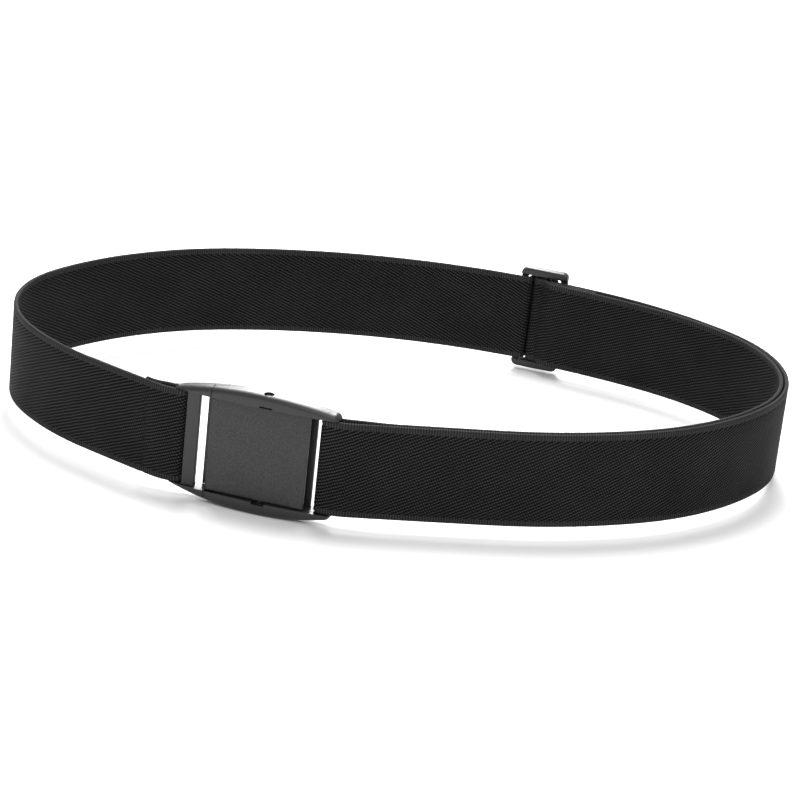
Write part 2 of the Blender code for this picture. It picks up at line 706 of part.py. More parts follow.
def slider_routes():
    """Routes of the running layer and of the folded layer through the slider, as (along, inwards).

    Along is measured from the slider's centre towards the socket, and inwards from the slider's middle plane.
    """
    bar = SLIDER_BAR / 2
    slot_end = bar + SLIDER_SLOT
    level = [SLIDER_LAYER, SLIDER_LAYER + LAYER_STEP, SLIDER_LAYER + 2 * LAYER_STEP]
    near = LAYER_GAP + HALF_WEBBING
    turns = [near + LAYER_STEP, near]  # of the running layer and of the tail, round the centre bar
    rises = [slot_end - (bar + turn) for turn in turns]
    running = rounded([
        (-WEAVE_LEFT, level[0]),
        (-bar - SLIDER_WRAP, level[0], near + LAYER_GAP),
        (-bar - SLIDER_WRAP, -SLIDER_WRAP, SLIDER_WRAP),
        (bar + turns[0], -SLIDER_WRAP, turns[0]),
        (bar + turns[0], level[0], rises[0]),
        (WEAVE_RIGHT, level[0]),
    ])
    tail = rounded([
        (-bar, -SLIDER_LAYER),
        (bar + turns[1], -SLIDER_LAYER, turns[1]),
        (bar + turns[1], level[1], rises[1]),
        (TAIL_PLACE, level[1]),
    ])
    crown = rises[1] + LAYER_STEP
    slope_end = slot_end - crown * math.tan(math.pi / 8)
    slope_start = slope_end - (level[2] - level[0])
    folded = rounded([
        (WEAVE_RIGHT, level[2]),
        (slope_end, level[2], crown),
        (slope_start, level[0], near),
        (-bar, level[0]),
    ])
    fold = folded + half_turn((-bar, 0), math.pi / 2, SLIDER_LAYER, clockwise=False)[1:-1] + tail
    return running, fold


def on_loop(loop, route):
    """Lays a route of the slider along the loop."""
    return [loop.at(SLIDER_STATION - along, inwards - SLIDER_LAYER)[0] for along, inwards in route]


def webbing_routes(loop):
    """The route of each stretch of webbing in plan, by name."""
    weave_first = SLIDER_STATION - WEAVE_RIGHT
    weave_last = SLIDER_STATION + WEAVE_LEFT
    tail_end = loop.length - TONGUE_SEAM - TONGUE_TAIL
    tongue_leg = tail_end - LAYER_GAP
    split = loop.length - LEFT_SPLIT
    gap = LAYER_GAP
    slider_inset = 2 * LAYER_STEP

    def inner(station):
        if station < SOCKET_MERGE:
            return socket_inset(station)
        return ease(station, weave_first - SLIDER_MERGE, weave_first, LAYER_SPACING, slider_inset)

    def tail_inset(station):
        seam, bar = loop.length - TONGUE_SEAM, loop.length - SOCKET_FOLD_LEG / 2
        return ease(station, seam, bar, LAYER_SPACING, 2 * FOLD_RADIUS)

    socket_fold = loop.run(0, SOCKET_FOLD_LEG)[::-1]
    socket_fold += half_turn((SOCKET_BAR_X, BAR_CENTRE_Y), -math.pi / 2, FOLD_RADIUS, clockwise=True)[1:-1]
    socket_fold += loop.run(0, SOCKET_FOLD_LEG, socket_inset, SHORT_STEP)
    tongue_fold = loop.run(tongue_leg + gap, loop.length)
    tongue_fold += half_turn((TONGUE_BAR_X, BAR_CENTRE_Y), -math.pi / 2, FOLD_RADIUS, clockwise=False)[1:-1]
    tongue_fold += loop.run(tail_end, loop.length, tail_inset, SHORT_STEP)[::-1]
    running, fold = slider_routes()
    return {
        "webbing_socket_fold": socket_fold,
        "webbing_right_outer": loop.run(SOCKET_FOLD_LEG + gap, weave_first - gap),
        "webbing_right_inner": loop.run(SOCKET_FOLD_LEG + gap, weave_first - gap, inner, LONG_STEP / 2),
        "webbing_slider_weave": on_loop(loop, running),
        "webbing_slider_fold": on_loop(loop, fold),
        "webbing_back": loop.run(weave_last + gap, split - gap / 2),
        "webbing_left": loop.run(split + gap / 2, tongue_leg),
        "webbing_tongue_fold": tongue_fold,
    }


def stitching(bench, name, loop, station, inwards):
    """A row of thread across the webbing, standing on its face."""
    middle, heading = loop.at(station, inwards)
    high = HALF_WIDTH - STITCH_MARGIN
    far = (STITCH_WIDTH / 2, STITCH_HEIGHT / 2, high)
    thread = bench.box(name, tuple(-size for size in far), far)
    thread.location = (middle[0], middle[1], 0)
    thread.rotation_euler.z = heading
    bpy.context.view_layer.update()
    return thread


def extent(pieces):
    """Lowest and highest corner of the pieces as they stand."""
    bpy.context.view_layer.update()
    corners = [piece.matrix_world @ vertex.co for piece in pieces for vertex in piece.data.vertices]
    return Vector(map(min, zip(*corners))), Vector(map(max, zip(*corners)))


def main():
    clear_scene()
    bench = Bench()
    black_webbing = material("elastic_webbing", (0.012, 0.012, 0.013), 0.85)
    black_thread = material("thread", (0.02, 0.02, 0.02), 0.7)
    moulded = material("moulded_plastic", (0.03, 0.03, 0.032), 0.5)
    spring_plastic = material("spring_plastic", (0.05, 0.05, 0.052), 0.45)
    pin_plastic = material("pin_plastic", (0.02, 0.02, 0.022), 0.4)

    loop = Loop()
    slider_place, slider_heading = loop.at(SLIDER_STATION, -SLIDER_LAYER)
    belt = bench.empty("belt", (0, 0, 0))
    plate_axis = bench.empty("plate_axis", (PIVOT_X, PIVOT_Y, 0), belt)
    tongue_start = bench.empty("tongue_start", (TONGUE_BAR_X, BAR_CENTRE_Y, 0), belt)
    slider_centre = bench.empty("slider_centre", (slider_place[0], slider_place[1], 0), belt)

    carried_by = {
        "webbing_tongue_fold": tongue_start,
        "webbing_slider_weave": slider_centre,
        "webbing_slider_fold": slider_centre,
    }
    pieces = []
    for name, route in webbing_routes(loop).items():
        strip = bench.slab(name, [ribbon_outline(route)], -HALF_WIDTH, HALF_WIDTH)
        pieces.append(finish(strip, black_webbing, carried_by.get(name, belt)))

    stitch_off = HALF_WEBBING + LAYER_GAP + STITCH_HEIGHT / 2
    tongue_row = stitching(
        bench, "tongue_stitching", loop, loop.length - TONGUE_SEAM, LAYER_SPACING + stitch_off
    )
    pieces.append(finish(tongue_row, black_thread, tongue_start))
    slider_row = stitching(
        bench, "slider_stitching", loop, SLIDER_STATION - SEAM_PLACE, 2 * LAYER_STEP + stitch_off
    )
    pieces.append(finish(slider_row, black_thread, slider_centre))

    pieces.append(finish(socket(bench), moulded, belt))
    pieces.append(finish(tongue(bench), moulded, tongue_start))
    pieces.append(finish(release_plate(bench), moulded, plate_axis))
    pieces.append(finish(hinge_pin(bench, "hinge_pin_upper"), pin_plastic, belt))
    pieces.append(finish(below(hinge_pin(bench, "hinge_pin_lower")), pin_plastic, belt))
    pieces.append(finish(latch_spring(bench), spring_plastic, belt))

    frame = slider(bench)
    frame.rotation_euler.z = slider_heading
    frame.location = (slider_place[0], slider_place[1], 0)
    bpy.context.view_layer.update()
    pieces.append(finish(frame, moulded, slider_centre))

    low, high = extent(pieces)
    belt.location = (-(low.x + high.x) / 2, -(low.y + high.y) / 2, -low.z)


main()
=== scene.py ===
"""Looks for the black elastic waist belt: woven webbing, a press-to-open buckle and a three-bar slider.

The belt stands on edge as a closed loop. Sizes are in metres. The buckle is laid out in its own frame: X
along it from the left edge of the release plate, Y from the plate's front face into the loop, Z up from
mid-height.
"""

import logging
import math
from dataclasses import dataclass
from enum import Enum
from typing import Callable, Iterable

import bmesh
import bpy
import numpy as np
from mathutils import Matrix, Vector


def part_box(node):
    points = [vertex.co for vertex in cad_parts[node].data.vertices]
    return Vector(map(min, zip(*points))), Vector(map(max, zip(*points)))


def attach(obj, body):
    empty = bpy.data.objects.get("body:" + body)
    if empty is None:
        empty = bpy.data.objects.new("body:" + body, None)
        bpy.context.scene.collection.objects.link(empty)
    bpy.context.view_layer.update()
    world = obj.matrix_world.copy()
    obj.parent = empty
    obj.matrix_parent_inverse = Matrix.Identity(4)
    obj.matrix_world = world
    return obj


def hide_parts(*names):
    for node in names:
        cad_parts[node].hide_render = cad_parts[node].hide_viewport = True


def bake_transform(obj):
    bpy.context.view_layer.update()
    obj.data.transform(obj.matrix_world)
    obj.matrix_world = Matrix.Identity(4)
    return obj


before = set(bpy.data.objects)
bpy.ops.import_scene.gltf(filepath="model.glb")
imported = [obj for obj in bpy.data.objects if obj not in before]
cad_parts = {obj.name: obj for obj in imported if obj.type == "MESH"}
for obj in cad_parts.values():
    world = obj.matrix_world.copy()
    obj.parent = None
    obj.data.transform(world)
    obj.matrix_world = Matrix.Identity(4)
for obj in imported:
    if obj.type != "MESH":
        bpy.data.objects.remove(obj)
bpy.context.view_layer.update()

MM = 0.001
OVER = 1 * MM  # how far a cutting or joining shape reaches past the surface that it meets
CUT_MERGE = 1e-7  # points closer than this to a cutting plane lie on it
ROD_SIDES = 48
SHARP_ANGLE = 60  # degrees; edges sharper than this are rounded
SMOOTH_ANGLE = 40  # degrees; edges sharper than this aren't shaded smooth
UV_NAME = "weave"
Shape = bmesh.types.BMesh
Piece = bpy.types.Object
Output = bpy.types.NodeSocket
log = logging.getLogger("belt")


class Body(str, Enum):
    """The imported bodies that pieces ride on."""

    SOCKET = "socket"
    PLATE = "plate"
    TONGUE = "tongue"
    SLIDER = "slider"


class Slot(str, Enum):
    """The record's material slots."""

    WEBBING = "webbing"
    THREAD = "thread"
    BUCKLE = "buckle_plastic"
    PLATE = "plate_plastic"
    SLIDER = "slider_plastic"
    SPRING = "spring_plastic"
    PIN = "pin_plastic"


class Side(Enum):
    """Above or below the belt's mid-height plane."""

    UPPER = 1
    LOWER = -1


# -- finishes


class NodeSketch:
    """A short way to lay out a material's nodes."""

    def __init__(self, name: str) -> None:
        """Starts an empty Principled material.

        Args:
            name: The material's name.
        """
        self.material = bpy.data.materials.new(name)
        self.material.use_nodes = True
        self.tree = self.material.node_tree
        self.shader = self.tree.nodes["Principled BSDF"]

    def add(self, kind: str, **settings) -> bpy.types.Node:
        """Adds a node and sets its properties.

        Args:
            kind: The node's type name, without "ShaderNode".
            **settings: Properties of the node.

        Returns:
            The node.
        """
        node = self.tree.nodes.new("ShaderNode" + kind)
        for key, value in settings.items():
            setattr(node, key, value)
        return node

    def join(self, source, target) -> None:
        """Links an output socket to an input socket."""
        self.tree.links.new(source, target)

    def maths(self, operation: str, *values) -> Output:
        """A Math node.

        Args:
            operation: The Math node's operation.
            *values: Its inputs, each a number or an output socket.

        Returns:
            Its output.
        """
        node = self.add("Math", operation=operation)
        for place, value in zip(node.inputs, values):
            if isinstance(value, (int, float)):
                place.default_value = value
            else:
                self.join(value, place)
        return node.outputs[0]

    def wave(self, phase) -> Output:
        """A wave from 0 to 1 that repeats for each whole step of phase."""
        sine = self.maths("SINE", self.maths("MULTIPLY", phase, 2 * math.pi))
        return self.maths("MULTIPLY_ADD", sine, 0.5, 0.5)

    def noise(self, vector, scale: float, detail: float = 2.0) -> Output:
        """A noise field on a vector, scale being cells in a metre."""
        node = self.add("TexNoise")
        self.join(vector, node.inputs["Vector"])
        node.inputs["Scale"].default_value = scale
        node.inputs["Detail"].default_value = detail
        return node.outputs["Fac"]

    def ramp(self, value: Output, stops: tuple) -> Output:
        """Colours along a value.

        Args:
            value: The socket that drives the ramp.
            stops: Two places from 0 to 1 with their linear colours.

        Returns:
            The colour output.
        """
        node = self.add("ValToRGB")
        for stop, (place, colour) in zip(node.color_ramp.elements, stops):
            stop.position = place
            stop.color = (*colour, 1)
        self.join(value, node.inputs["Fac"])
        return node.outputs["Color"]

    def bump(self, height, distance: float, strength: float = 1.0) -> None:
        """Relief of a given depth on the shader's normal."""
        node = self.add("Bump")
        node.inputs["Distance"].default_value = distance
        node.inputs["Strength"].default_value = strength
        self.join(height, node.inputs["Height"])
        self.join(node.outputs["Normal"], self.shader.inputs["Normal"])

    def feed(self, **sources: Output) -> None:
        """Links outputs to inputs of the shader, underscores standing for spaces."""
        for key, source in sources.items():
            self.join(source, self.shader.inputs[key.replace("_", " ")])

    def set(self, **values: float) -> None:
        """Sets constant inputs of the shader, underscores standing for spaces."""
        for key, value in values.items():
            self.shader.inputs[key.replace("_", " ")].default_value = value


def grey(value: float, warmth: float = 0.0) -> tuple[float, float, float]:
    """A linear grey, a little warmer or cooler."""
    return (value * (1 + warmth), value, value * (1 - warmth))


@dataclass(frozen=True)
class PlasticFinish:
    """Moulded plastic with a fine grain."""

    name: str
    shade: float
    roughness: float
    grain: float = 2600.0  # cells in a metre
    grain_depth: float = 0.02 * MM
    speckle: float = 0.15  # share by which the shade varies from grain to grain

    def build(self) -> bpy.types.Material:
        """Makes the material, on Object coordinates."""
        nodes = NodeSketch(self.name)
        place = nodes.add("TexCoord").outputs["Object"]
        fine = nodes.noise(place, self.grain, 3.0)
        broad = nodes.noise(place, 90.0, 2.0)
        low = self.shade * (1 - 2 * self.speckle)
        high = self.shade * (1 + 2 * self.speckle)
        tone = nodes.ramp(fine, ((0.25, grey(low, -0.01)), (0.75, grey(high, -0.01))))
        rough = nodes.maths("MULTIPLY_ADD", broad, 0.12, self.roughness - 0.06)
        nodes.feed(Base_Color=tone, Roughness=nodes.maths("MULTIPLY_ADD", fine, 0.08, rough))
        nodes.bump(fine, self.grain_depth)
        nodes.set(Specular_IOR_Level=0.5)
        return nodes.material


@dataclass(frozen=True)
class WovenFinish:
    """Elastic twill: slanted rows of short floats, with ribbed selvedges, on the piece's UV map in metres; its
    colour paints glints on the ridges and shade in the grooves.
    """

    name: str = "elastic_twill"
    row_pitch: float = 1.22 * MM
    row_slant: float = 25.0  # degrees, from the length of the strip
    float_pitch: float = 0.95 * MM
    float_slant: float = 62.0
    rib_pitch: float = 1.05 * MM
    selvedge: float = 2.4 * MM
    half_width: float = 19 * MM
    depth: float = 0.16 * MM
    # painted shade in the grooves between the floats
    painted_groove_shade: float = 0.0008
    # painted glint on the ridges of the floats and ribs
    painted_ridge_glint: float = 0.042

    def build(self) -> bpy.types.Material:
        """Makes the material."""
        nodes = NodeSketch(self.name)
        strip = nodes.add("UVMap", uv_map=UV_NAME).outputs["UV"]
        wander = nodes.noise(strip, 260.0, 2.0)
        parts = nodes.add("SeparateXYZ")
        nodes.join(strip, parts.inputs[0])
        along, across = parts.outputs["X"], parts.outputs["Y"]

        def lines(slant: float, pitch: float, drift: float) -> Output:
            """Waves across one direction of the twill."""
            angle = math.radians(slant)
            rise = nodes.maths("MULTIPLY", across, math.cos(angle) / pitch)
            phase = nodes.maths("MULTIPLY_ADD", along, math.sin(angle) / pitch, rise)
            return nodes.wave(nodes.maths("MULTIPLY_ADD", wander, drift, phase))

        rows = lines(self.row_slant, self.row_pitch, 0.45)
        floats = lines(-self.float_slant, self.float_pitch, 0.6)
        field_relief = nodes.maths("MULTIPLY", rows, nodes.maths("MULTIPLY_ADD", floats, 0.6, 0.4))
        ribs = nodes.wave(nodes.maths("MULTIPLY", along, 1 / self.rib_pitch))
        rib_relief = nodes.maths("MULTIPLY_ADD", ribs, 0.5, 0.35)
        edge = self.half_width - self.selvedge
        on_edge = nodes.maths("GREATER_THAN", nodes.maths("ABSOLUTE", across), edge)
        pick = nodes.add("Mix", data_type="FLOAT")
        nodes.join(on_edge, pick.inputs["Factor"])
        nodes.join(field_relief, pick.inputs["A"])
        nodes.join(rib_relief, pick.inputs["B"])
        relief = pick.outputs["Result"]
        fuzz = nodes.noise(strip, 5200.0, 3.0)
        tone = nodes.maths("MULTIPLY", relief, nodes.maths("MULTIPLY_ADD", fuzz, 1.0, 0.45))
        broad = nodes.maths("MULTIPLY_ADD", nodes.noise(strip, 45.0, 1.0), 0.5, 0.75)
        # the ramp paints the relief into the colour: painted shade in the grooves, painted glints on the ridges
        # and ribs
        shade = nodes.ramp(
            nodes.maths("MULTIPLY", tone, broad),
            ((0.15, grey(self.painted_groove_shade)), (0.95, grey(self.painted_ridge_glint))),
        )
        nodes.feed(Base_Color=shade, Roughness=nodes.maths("MULTIPLY_ADD", fuzz, 0.15, 0.68))
        nodes.bump(nodes.maths("MULTIPLY_ADD", fuzz, 0.15, relief), self.depth, 0.9)
        nodes.set(Specular_IOR_Level=0.08)
        return nodes.material


@dataclass(frozen=True)
class ThreadFinish:
    """Sewing thread: fine twist along the stitch."""

    name: str = "sewing_thread"
    shade: float = 0.006

    def build(self) -> bpy.types.Material:
        """Makes the material, on Object coordinates."""
        nodes = NodeSketch(self.name)
        place = nodes.add("TexCoord").outputs["Object"]
        parts = nodes.add("SeparateXYZ")
        nodes.join(place, parts.inputs[0])
        lean = nodes.maths("ADD", parts.outputs["Z"], parts.outputs["X"])
        twist = nodes.wave(nodes.maths("MULTIPLY", lean, 1 / (0.35 * MM)))
        tone = nodes.ramp(twist, ((0.0, grey(self.shade * 0.5)), (1.0, grey(self.shade * 1.6))))
        nodes.feed(Base_Color=tone)
        nodes.set(Roughness=0.65, Specular_IOR_Level=0.15)
        nodes.bump(twist, 0.05 * MM)
        return nodes.material


class Finishes:
    """Every material of the belt, made once."""

    def __init__(self) -> None:
        """Builds the materials."""
        self.webbing = WovenFinish().build()
        self.thread = ThreadFinish().build()
        self.rails = PlasticFinish("satin_rail_plastic", 0.013, 0.36, grain_depth=0.012 * MM).build()
        self.plate = PlasticFinish(
            "sand_grain_plastic", 0.017, 0.46, grain=1500.0, grain_depth=0.06 * MM, speckle=0.35
        ).build()
        self.slider = PlasticFinish("slider_plastic", 0.013, 0.36, grain_depth=0.012 * MM).build()
        self.spring = PlasticFinish("spring_plastic", 0.05, 0.4, grain_depth=0.006 * MM).build()
        self.pin = PlasticFinish("pin_plastic", 0.018, 0.4, grain_depth=0.006 * MM).build()


# -- workshop


class Workshop:
    """Makes, cuts and hands over meshes, placed in the mesh itself, with objects at the origin."""

    def __init__(self) -> None:
        """Reads the buckle's own frame from the release plate."""
        low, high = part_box("release_plate")
        self.origin = Vector((low.x, low.y, (low.z + high.z) / 2))
        self.scene = bpy.context.scene

    def place(self, x: float, y: float, z: float = 0.0) -> Vector:
        """A point of the buckle's frame, in the row frame."""
        return self.origin + Vector((x, y, z))

    def hold(self, name: str, shape: Shape) -> Piece:
        """Turns a bmesh in the row frame into an object.

        Args:
            name: The object's name.
            shape: The bmesh, which is freed.

        Returns:
            The object.
        """
        mesh = bpy.data.meshes.new(name)
        shape.to_mesh(mesh)
        shape.free()
        made = bpy.data.objects.new(name, mesh)
        self.scene.collection.objects.link(made)
        return made

    def block(self, low: tuple, high: tuple) -> Shape:
        """A box between two corners of the buckle's frame, as a bmesh there."""
        shape = bmesh.new()
        bmesh.ops.create_cube(shape, size=1)
        size = Vector(high) - Vector(low)
        bmesh.ops.scale(shape, verts=shape.verts, vec=size)
        bmesh.ops.translate(shape, verts=shape.verts, vec=(Vector(high) + Vector(low)) / 2)
        return shape

    def bisect(self, shape: Shape, place: Iterable[float], way: Iterable[float], clear: bool = True) -> None:
        """Cuts a shape along a plane, and clears what lies beyond it unless told not to."""
        whole = [*shape.verts, *shape.edges, *shape.faces]
        bmesh.ops.bisect_plane(
            shape, geom=whole, plane_co=place, plane_no=way, clear_outer=clear, dist=CUT_MERGE
        )

    def slice(self, shape: Shape, axis: Vector, marks: Iterable[float]) -> None:
        """Cuts new edges across a shape, at distances along an axis."""
        for mark in marks:
            self.bisect(shape, axis * mark, axis, clear=False)

    def round_off(self, shape: Shape, edges: Iterable, width: float, segments: int) -> None:
        """Rounds some edges."""
        bmesh.ops.bevel(
            shape, geom=list(edges), offset=width, offset_type="OFFSET", segments=segments,
            profile=0.5, affect="EDGES", clamp_overlap=True, material=-1,
        )

    def sharp_edges(self, shape: Shape) -> list:
        """The edges where two faces meet at more than the sharp angle."""
        limit = math.radians(SHARP_ANGLE)
        return [edge for edge in shape.edges if len(edge.link_faces) == 2 and edge.calc_face_angle() > limit]

    def spanning(self, shape: Shape, axis: int, least: float) -> list:
        """The edges that span more than a length along an axis, 0 to 2 for X to Z."""
        return [e for e in shape.edges if abs(e.verts[0].co[axis] - e.verts[1].co[axis]) > least]

    def rod(self, radius: float, low: float, high: float, x: float, y: float) -> Shape:
        """An upright round bar in the buckle's frame."""
        shape = bmesh.new()
        bmesh.ops.create_cone(
            shape, cap_ends=True, segments=ROD_SIDES, radius1=radius, radius2=radius, depth=high - low
        )
        bmesh.ops.translate(shape, verts=shape.verts, vec=(x, y, (low + high) / 2))
        return shape

    def mirrored(self, shape: Shape, side: Side) -> Shape:
        """Turns an upper shape into the lower one, if it is for the lower side."""
        if side is Side.LOWER:
            bmesh.ops.scale(shape, verts=shape.verts, vec=(1, 1, -1))
            bmesh.ops.reverse_faces(shape, faces=shape.faces)
        return shape

    def settle(self, piece: Piece) -> None:
        """Replaces the piece's mesh by what its modifiers make of it."""
        bpy.context.view_layer.update()
        graph = bpy.context.evaluated_depsgraph_get()
        made = bpy.data.meshes.new_from_object(piece.evaluated_get(graph))
        piece.modifiers.clear()
        piece.data = made

    def combine(self, piece: Piece, shapes: list[Shape], operation: str) -> None:
        """Joins or cuts a piece with other shapes.

        Args:
            piece: The piece that is kept.
            shapes: The other shapes, which are used up.
            operation: UNION or DIFFERENCE.
        """
        for shape in shapes:
            other = self.hold("tool", shape)
            step = piece.modifiers.new("step", "BOOLEAN")
            step.operation = operation
            step.object = other
            self.settle(piece)
            bpy.data.objects.remove(other)

    def soften(self, piece: Piece, width: float, segments: int = 2) -> None:
        """Breaks the piece's sharp edges with a small bevel, kept as a modifier."""
        edge = piece.modifiers.new("edge_break", "BEVEL")
        edge.width = width
        edge.segments = segments
        edge.limit_method = "ANGLE"
        edge.angle_limit = math.radians(SMOOTH_ANGLE)
        edge.harden_normals = True

    def deliver(
        self,
        piece: Piece,
        look: bpy.types.Material,
        slot: Slot,
        node: str,
        body: Body | None = None,
        smooth_angle: float = SMOOTH_ANGLE,
    ) -> None:
        """Moves a finished piece from the buckle's frame to the row frame and dresses it.

        Args:
            piece: The piece.
            look: Its material.
            slot: The record's slot of that finish; not used.
            node: The CAD node that it replaces.
            body: The body that it rides on, or none to leave it on no body.
            smooth_angle: Edges sharper than this, in degrees, stay sharp.
        """
        piece.data.transform(Matrix.Translation(self.origin))
        piece.data.shade_smooth()
        piece.data.set_sharp_from_angle(angle=math.radians(smooth_angle))
        piece.data.materials.clear()
        piece.data.materials.append(look)
        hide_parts(node)
        if body:
            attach(piece, body.value)
        log.info("%s: %d faces", piece.name, len(piece.data.polygons))


# -- the belt's line


@dataclass
class BeltLine:
    """The belt's line in plan, in the buckle's frame, anticlockwise from the socket's crossbar."""

    first_x: float
    last_x: float
    leg_y: float
    stretches: tuple = (  # length in millimetres and turn in degrees
        (3.2, 0), (6, 22), (56, 1), (61, 18), (66, 31), (93, 79), (59, 21),
        (168, 41), (92, 39), (72, 66), (41, 21), (36, 2), (6, 19), (3.2, 0),
    )
    closing: tuple = (5, 7)  # the stretches that take the length which closes the loop
    step: float = 0.25 * MM
    easing: float = 5 * MM  # over which one bend turns into the next

    def __post_init__(self) -> None:
        """Solves the closing lengths and samples the line."""
        lengths = [length * MM for length, _ in self.stretches]
        turns = [math.radians(turn) for _, turn in self.stretches]
        start = np.array([self.first_x, self.leg_y])
        end = np.array([self.last_x, self.leg_y])
        headings = np.concatenate([[0.0], np.cumsum(turns)])
        chords = [self.chord(1.0, h, t) for h, t in zip(headings, turns)]
        fixed = sum(chords[i] * lengths[i] for i in range(len(turns)) if i not in self.closing)
        pair = np.column_stack([chords[i] for i in self.closing])
        for i, length in zip(self.closing, np.linalg.solve(pair, end - start - fixed)):
            lengths[i] = float(length)
        self.length = sum(lengths)
        count = int(round(self.length / self.step)) + 1
        self.marks = np.linspace(0, self.length, count)
        ends = np.cumsum(lengths)
        places = [min(int(np.searchsorted(ends, m)), len(turns) - 1) for m in self.marks]
        bend = np.array([turns[i] for i in places])
        span = np.array([lengths[i] for i in places])
        curve = bend / span
        reach = int(self.easing / self.step)
        window = np.hanning(2 * reach + 1)
        padded = np.pad(curve, reach, mode="edge")
        curve = np.convolve(padded, window / window.sum(), mode="valid")
        pace = self.length / (count - 1)
        heading = np.concatenate([[0.0], np.cumsum((curve[1:] + curve[:-1]) / 2 * pace)])
        heading *= sum(turns) / heading[-1]
        middle = (heading[1:] + heading[:-1]) / 2
        x = start[0] + np.concatenate([[0.0], np.cumsum(np.cos(middle) * pace)])
        y = start[1] + np.concatenate([[0.0], np.cumsum(np.sin(middle) * pace)])
        share = self.marks / self.length
        self.x = x + (end[0] - x[-1]) * share
        self.y = y + (end[1] - y[-1]) * share
        self.heading = heading

    @staticmethod
    def chord(length: float, heading: float, turn: float) -> np.ndarray:
        """The step across a stretch that starts at a heading and turns evenly."""
        if abs(turn) < 1e-9:
            return length * np.array([math.cos(heading), math.sin(heading)])
        radius = length / turn
        return radius * np.array([
            math.sin(heading + turn) - math.sin(heading),
            math.cos(heading) - math.cos(heading + turn),
        ])

    def at(self, station: float, inwards: float = 0.0) -> tuple[np.ndarray, float]:
        """The point at a distance along the line, moved inwards, and the heading there."""
        heading = float(np.interp(station, self.marks, self.heading))
        x = float(np.interp(station, self.marks, self.x)) - math.sin(heading) * inwards
        y = float(np.interp(station, self.marks, self.y)) + math.cos(heading) * inwards
        return np.array([x, y]), heading

    def run(self, first: float, last: float, inwards: Callable = lambda station: 0.0) -> list[np.ndarray]:
        """Points from one station to another, moved inwards by what a function gives at each."""
        count = max(2, int(abs(last - first) / (0.5 * MM)))
        return [self.at(s, inwards(s))[0] for s in np.linspace(first, last, count)]


def ease(place: float, first: float, last: float, start: float, end: float) -> float:
    """A value that changes gently from start to end between two places."""
    share = min(max((place - first) / (last - first), 0.0), 1.0)
    return start + (end - start) * share * share * (3 - 2 * share)


def rounded(corners: list[tuple]) -> list[np.ndarray]:
    """A route through corners (x, y, radius), each rounded by its own radius."""
    route = [np.array(corners[0][:2])]
    for before, corner, after in zip(corners, corners[1:], corners[2:]):
        here = np.array(corner[:2])
        back = np.array(before[:2]) - here
        ahead = np.array(after[:2]) - here
        back /= np.linalg.norm(back)
        ahead /= np.linalg.norm(ahead)
        half = math.acos(max(-1.0, min(1.0, float(back @ ahead)))) / 2
        reach = corner[2] / math.tan(half)
        middle = here + (back + ahead) / np.linalg.norm(back + ahead) * corner[2] / math.sin(half)
        first = here + back * reach - middle
        last = here + ahead * reach - middle
        sweep = math.atan2(first[0] * last[1] - first[1] * last[0], float(first @ last))
        for share in np.linspace(0, 1, 16):
            angle = sweep * share
            spin = np.array([[math.cos(angle), -math.sin(angle)], [math.sin(angle), math.cos(angle)]])
            route.append(middle + spin @ first)
    route.append(np.array(corners[-1][:2]))
    return route


def half_turn(centre: tuple, first_angle: float, radius: float, clockwise: bool) -> list[np.ndarray]:
    """Points of a half circle."""
    sign = -1 if clockwise else 1
    angles = first_angle + sign * np.linspace(0, math.pi, 25)
    return [np.array([centre[0] + radius * math.cos(a), centre[1] + radius * math.sin(a)]) for a in angles]


class Route:
    """A line in plan that webbing follows, read by the distance along it."""

    def __init__(self, points: list[np.ndarray], spacing: float = 0.2 * MM) -> None:
        """Samples a line evenly and works out the way across it.

        Args:
            points: The line's points, in order.
            spacing: The distance between two samples.
        """
        line = np.array(points)
        kept = np.concatenate([[True], np.linalg.norm(np.diff(line, axis=0), axis=1) > 1e-6])
        line = line[kept]
        along = np.concatenate([[0.0], np.cumsum(np.linalg.norm(np.diff(line, axis=0), axis=1))])
        self.length = float(along[-1])
        self.marks = np.linspace(0, self.length, int(self.length / spacing) + 2)
        self.points = np.column_stack([np.interp(self.marks, along, line[:, i]) for i in (0, 1)])
        ways = np.gradient(self.points, self.marks, axis=0)
        reach = 3
        padded = np.pad(ways, ((reach, reach), (0, 0)), mode="edge")
        ways = sum(padded[i : i + len(ways)] for i in range(2 * reach + 1))
        self.ways = ways / np.linalg.norm(ways, axis=1, keepdims=True)

    def lay(self, along: np.ndarray, aside: np.ndarray) -> np.ndarray:
        """Plan points at distances along the route and to its left."""
        x, y, tx, ty = (
            np.interp(along, self.marks, values)
            for values in (self.points[:, 0], self.points[:, 1], self.ways[:, 0], self.ways[:, 1])
        )
        return np.column_stack([x - ty * aside, y + tx * aside])


# -- sub-assemblies


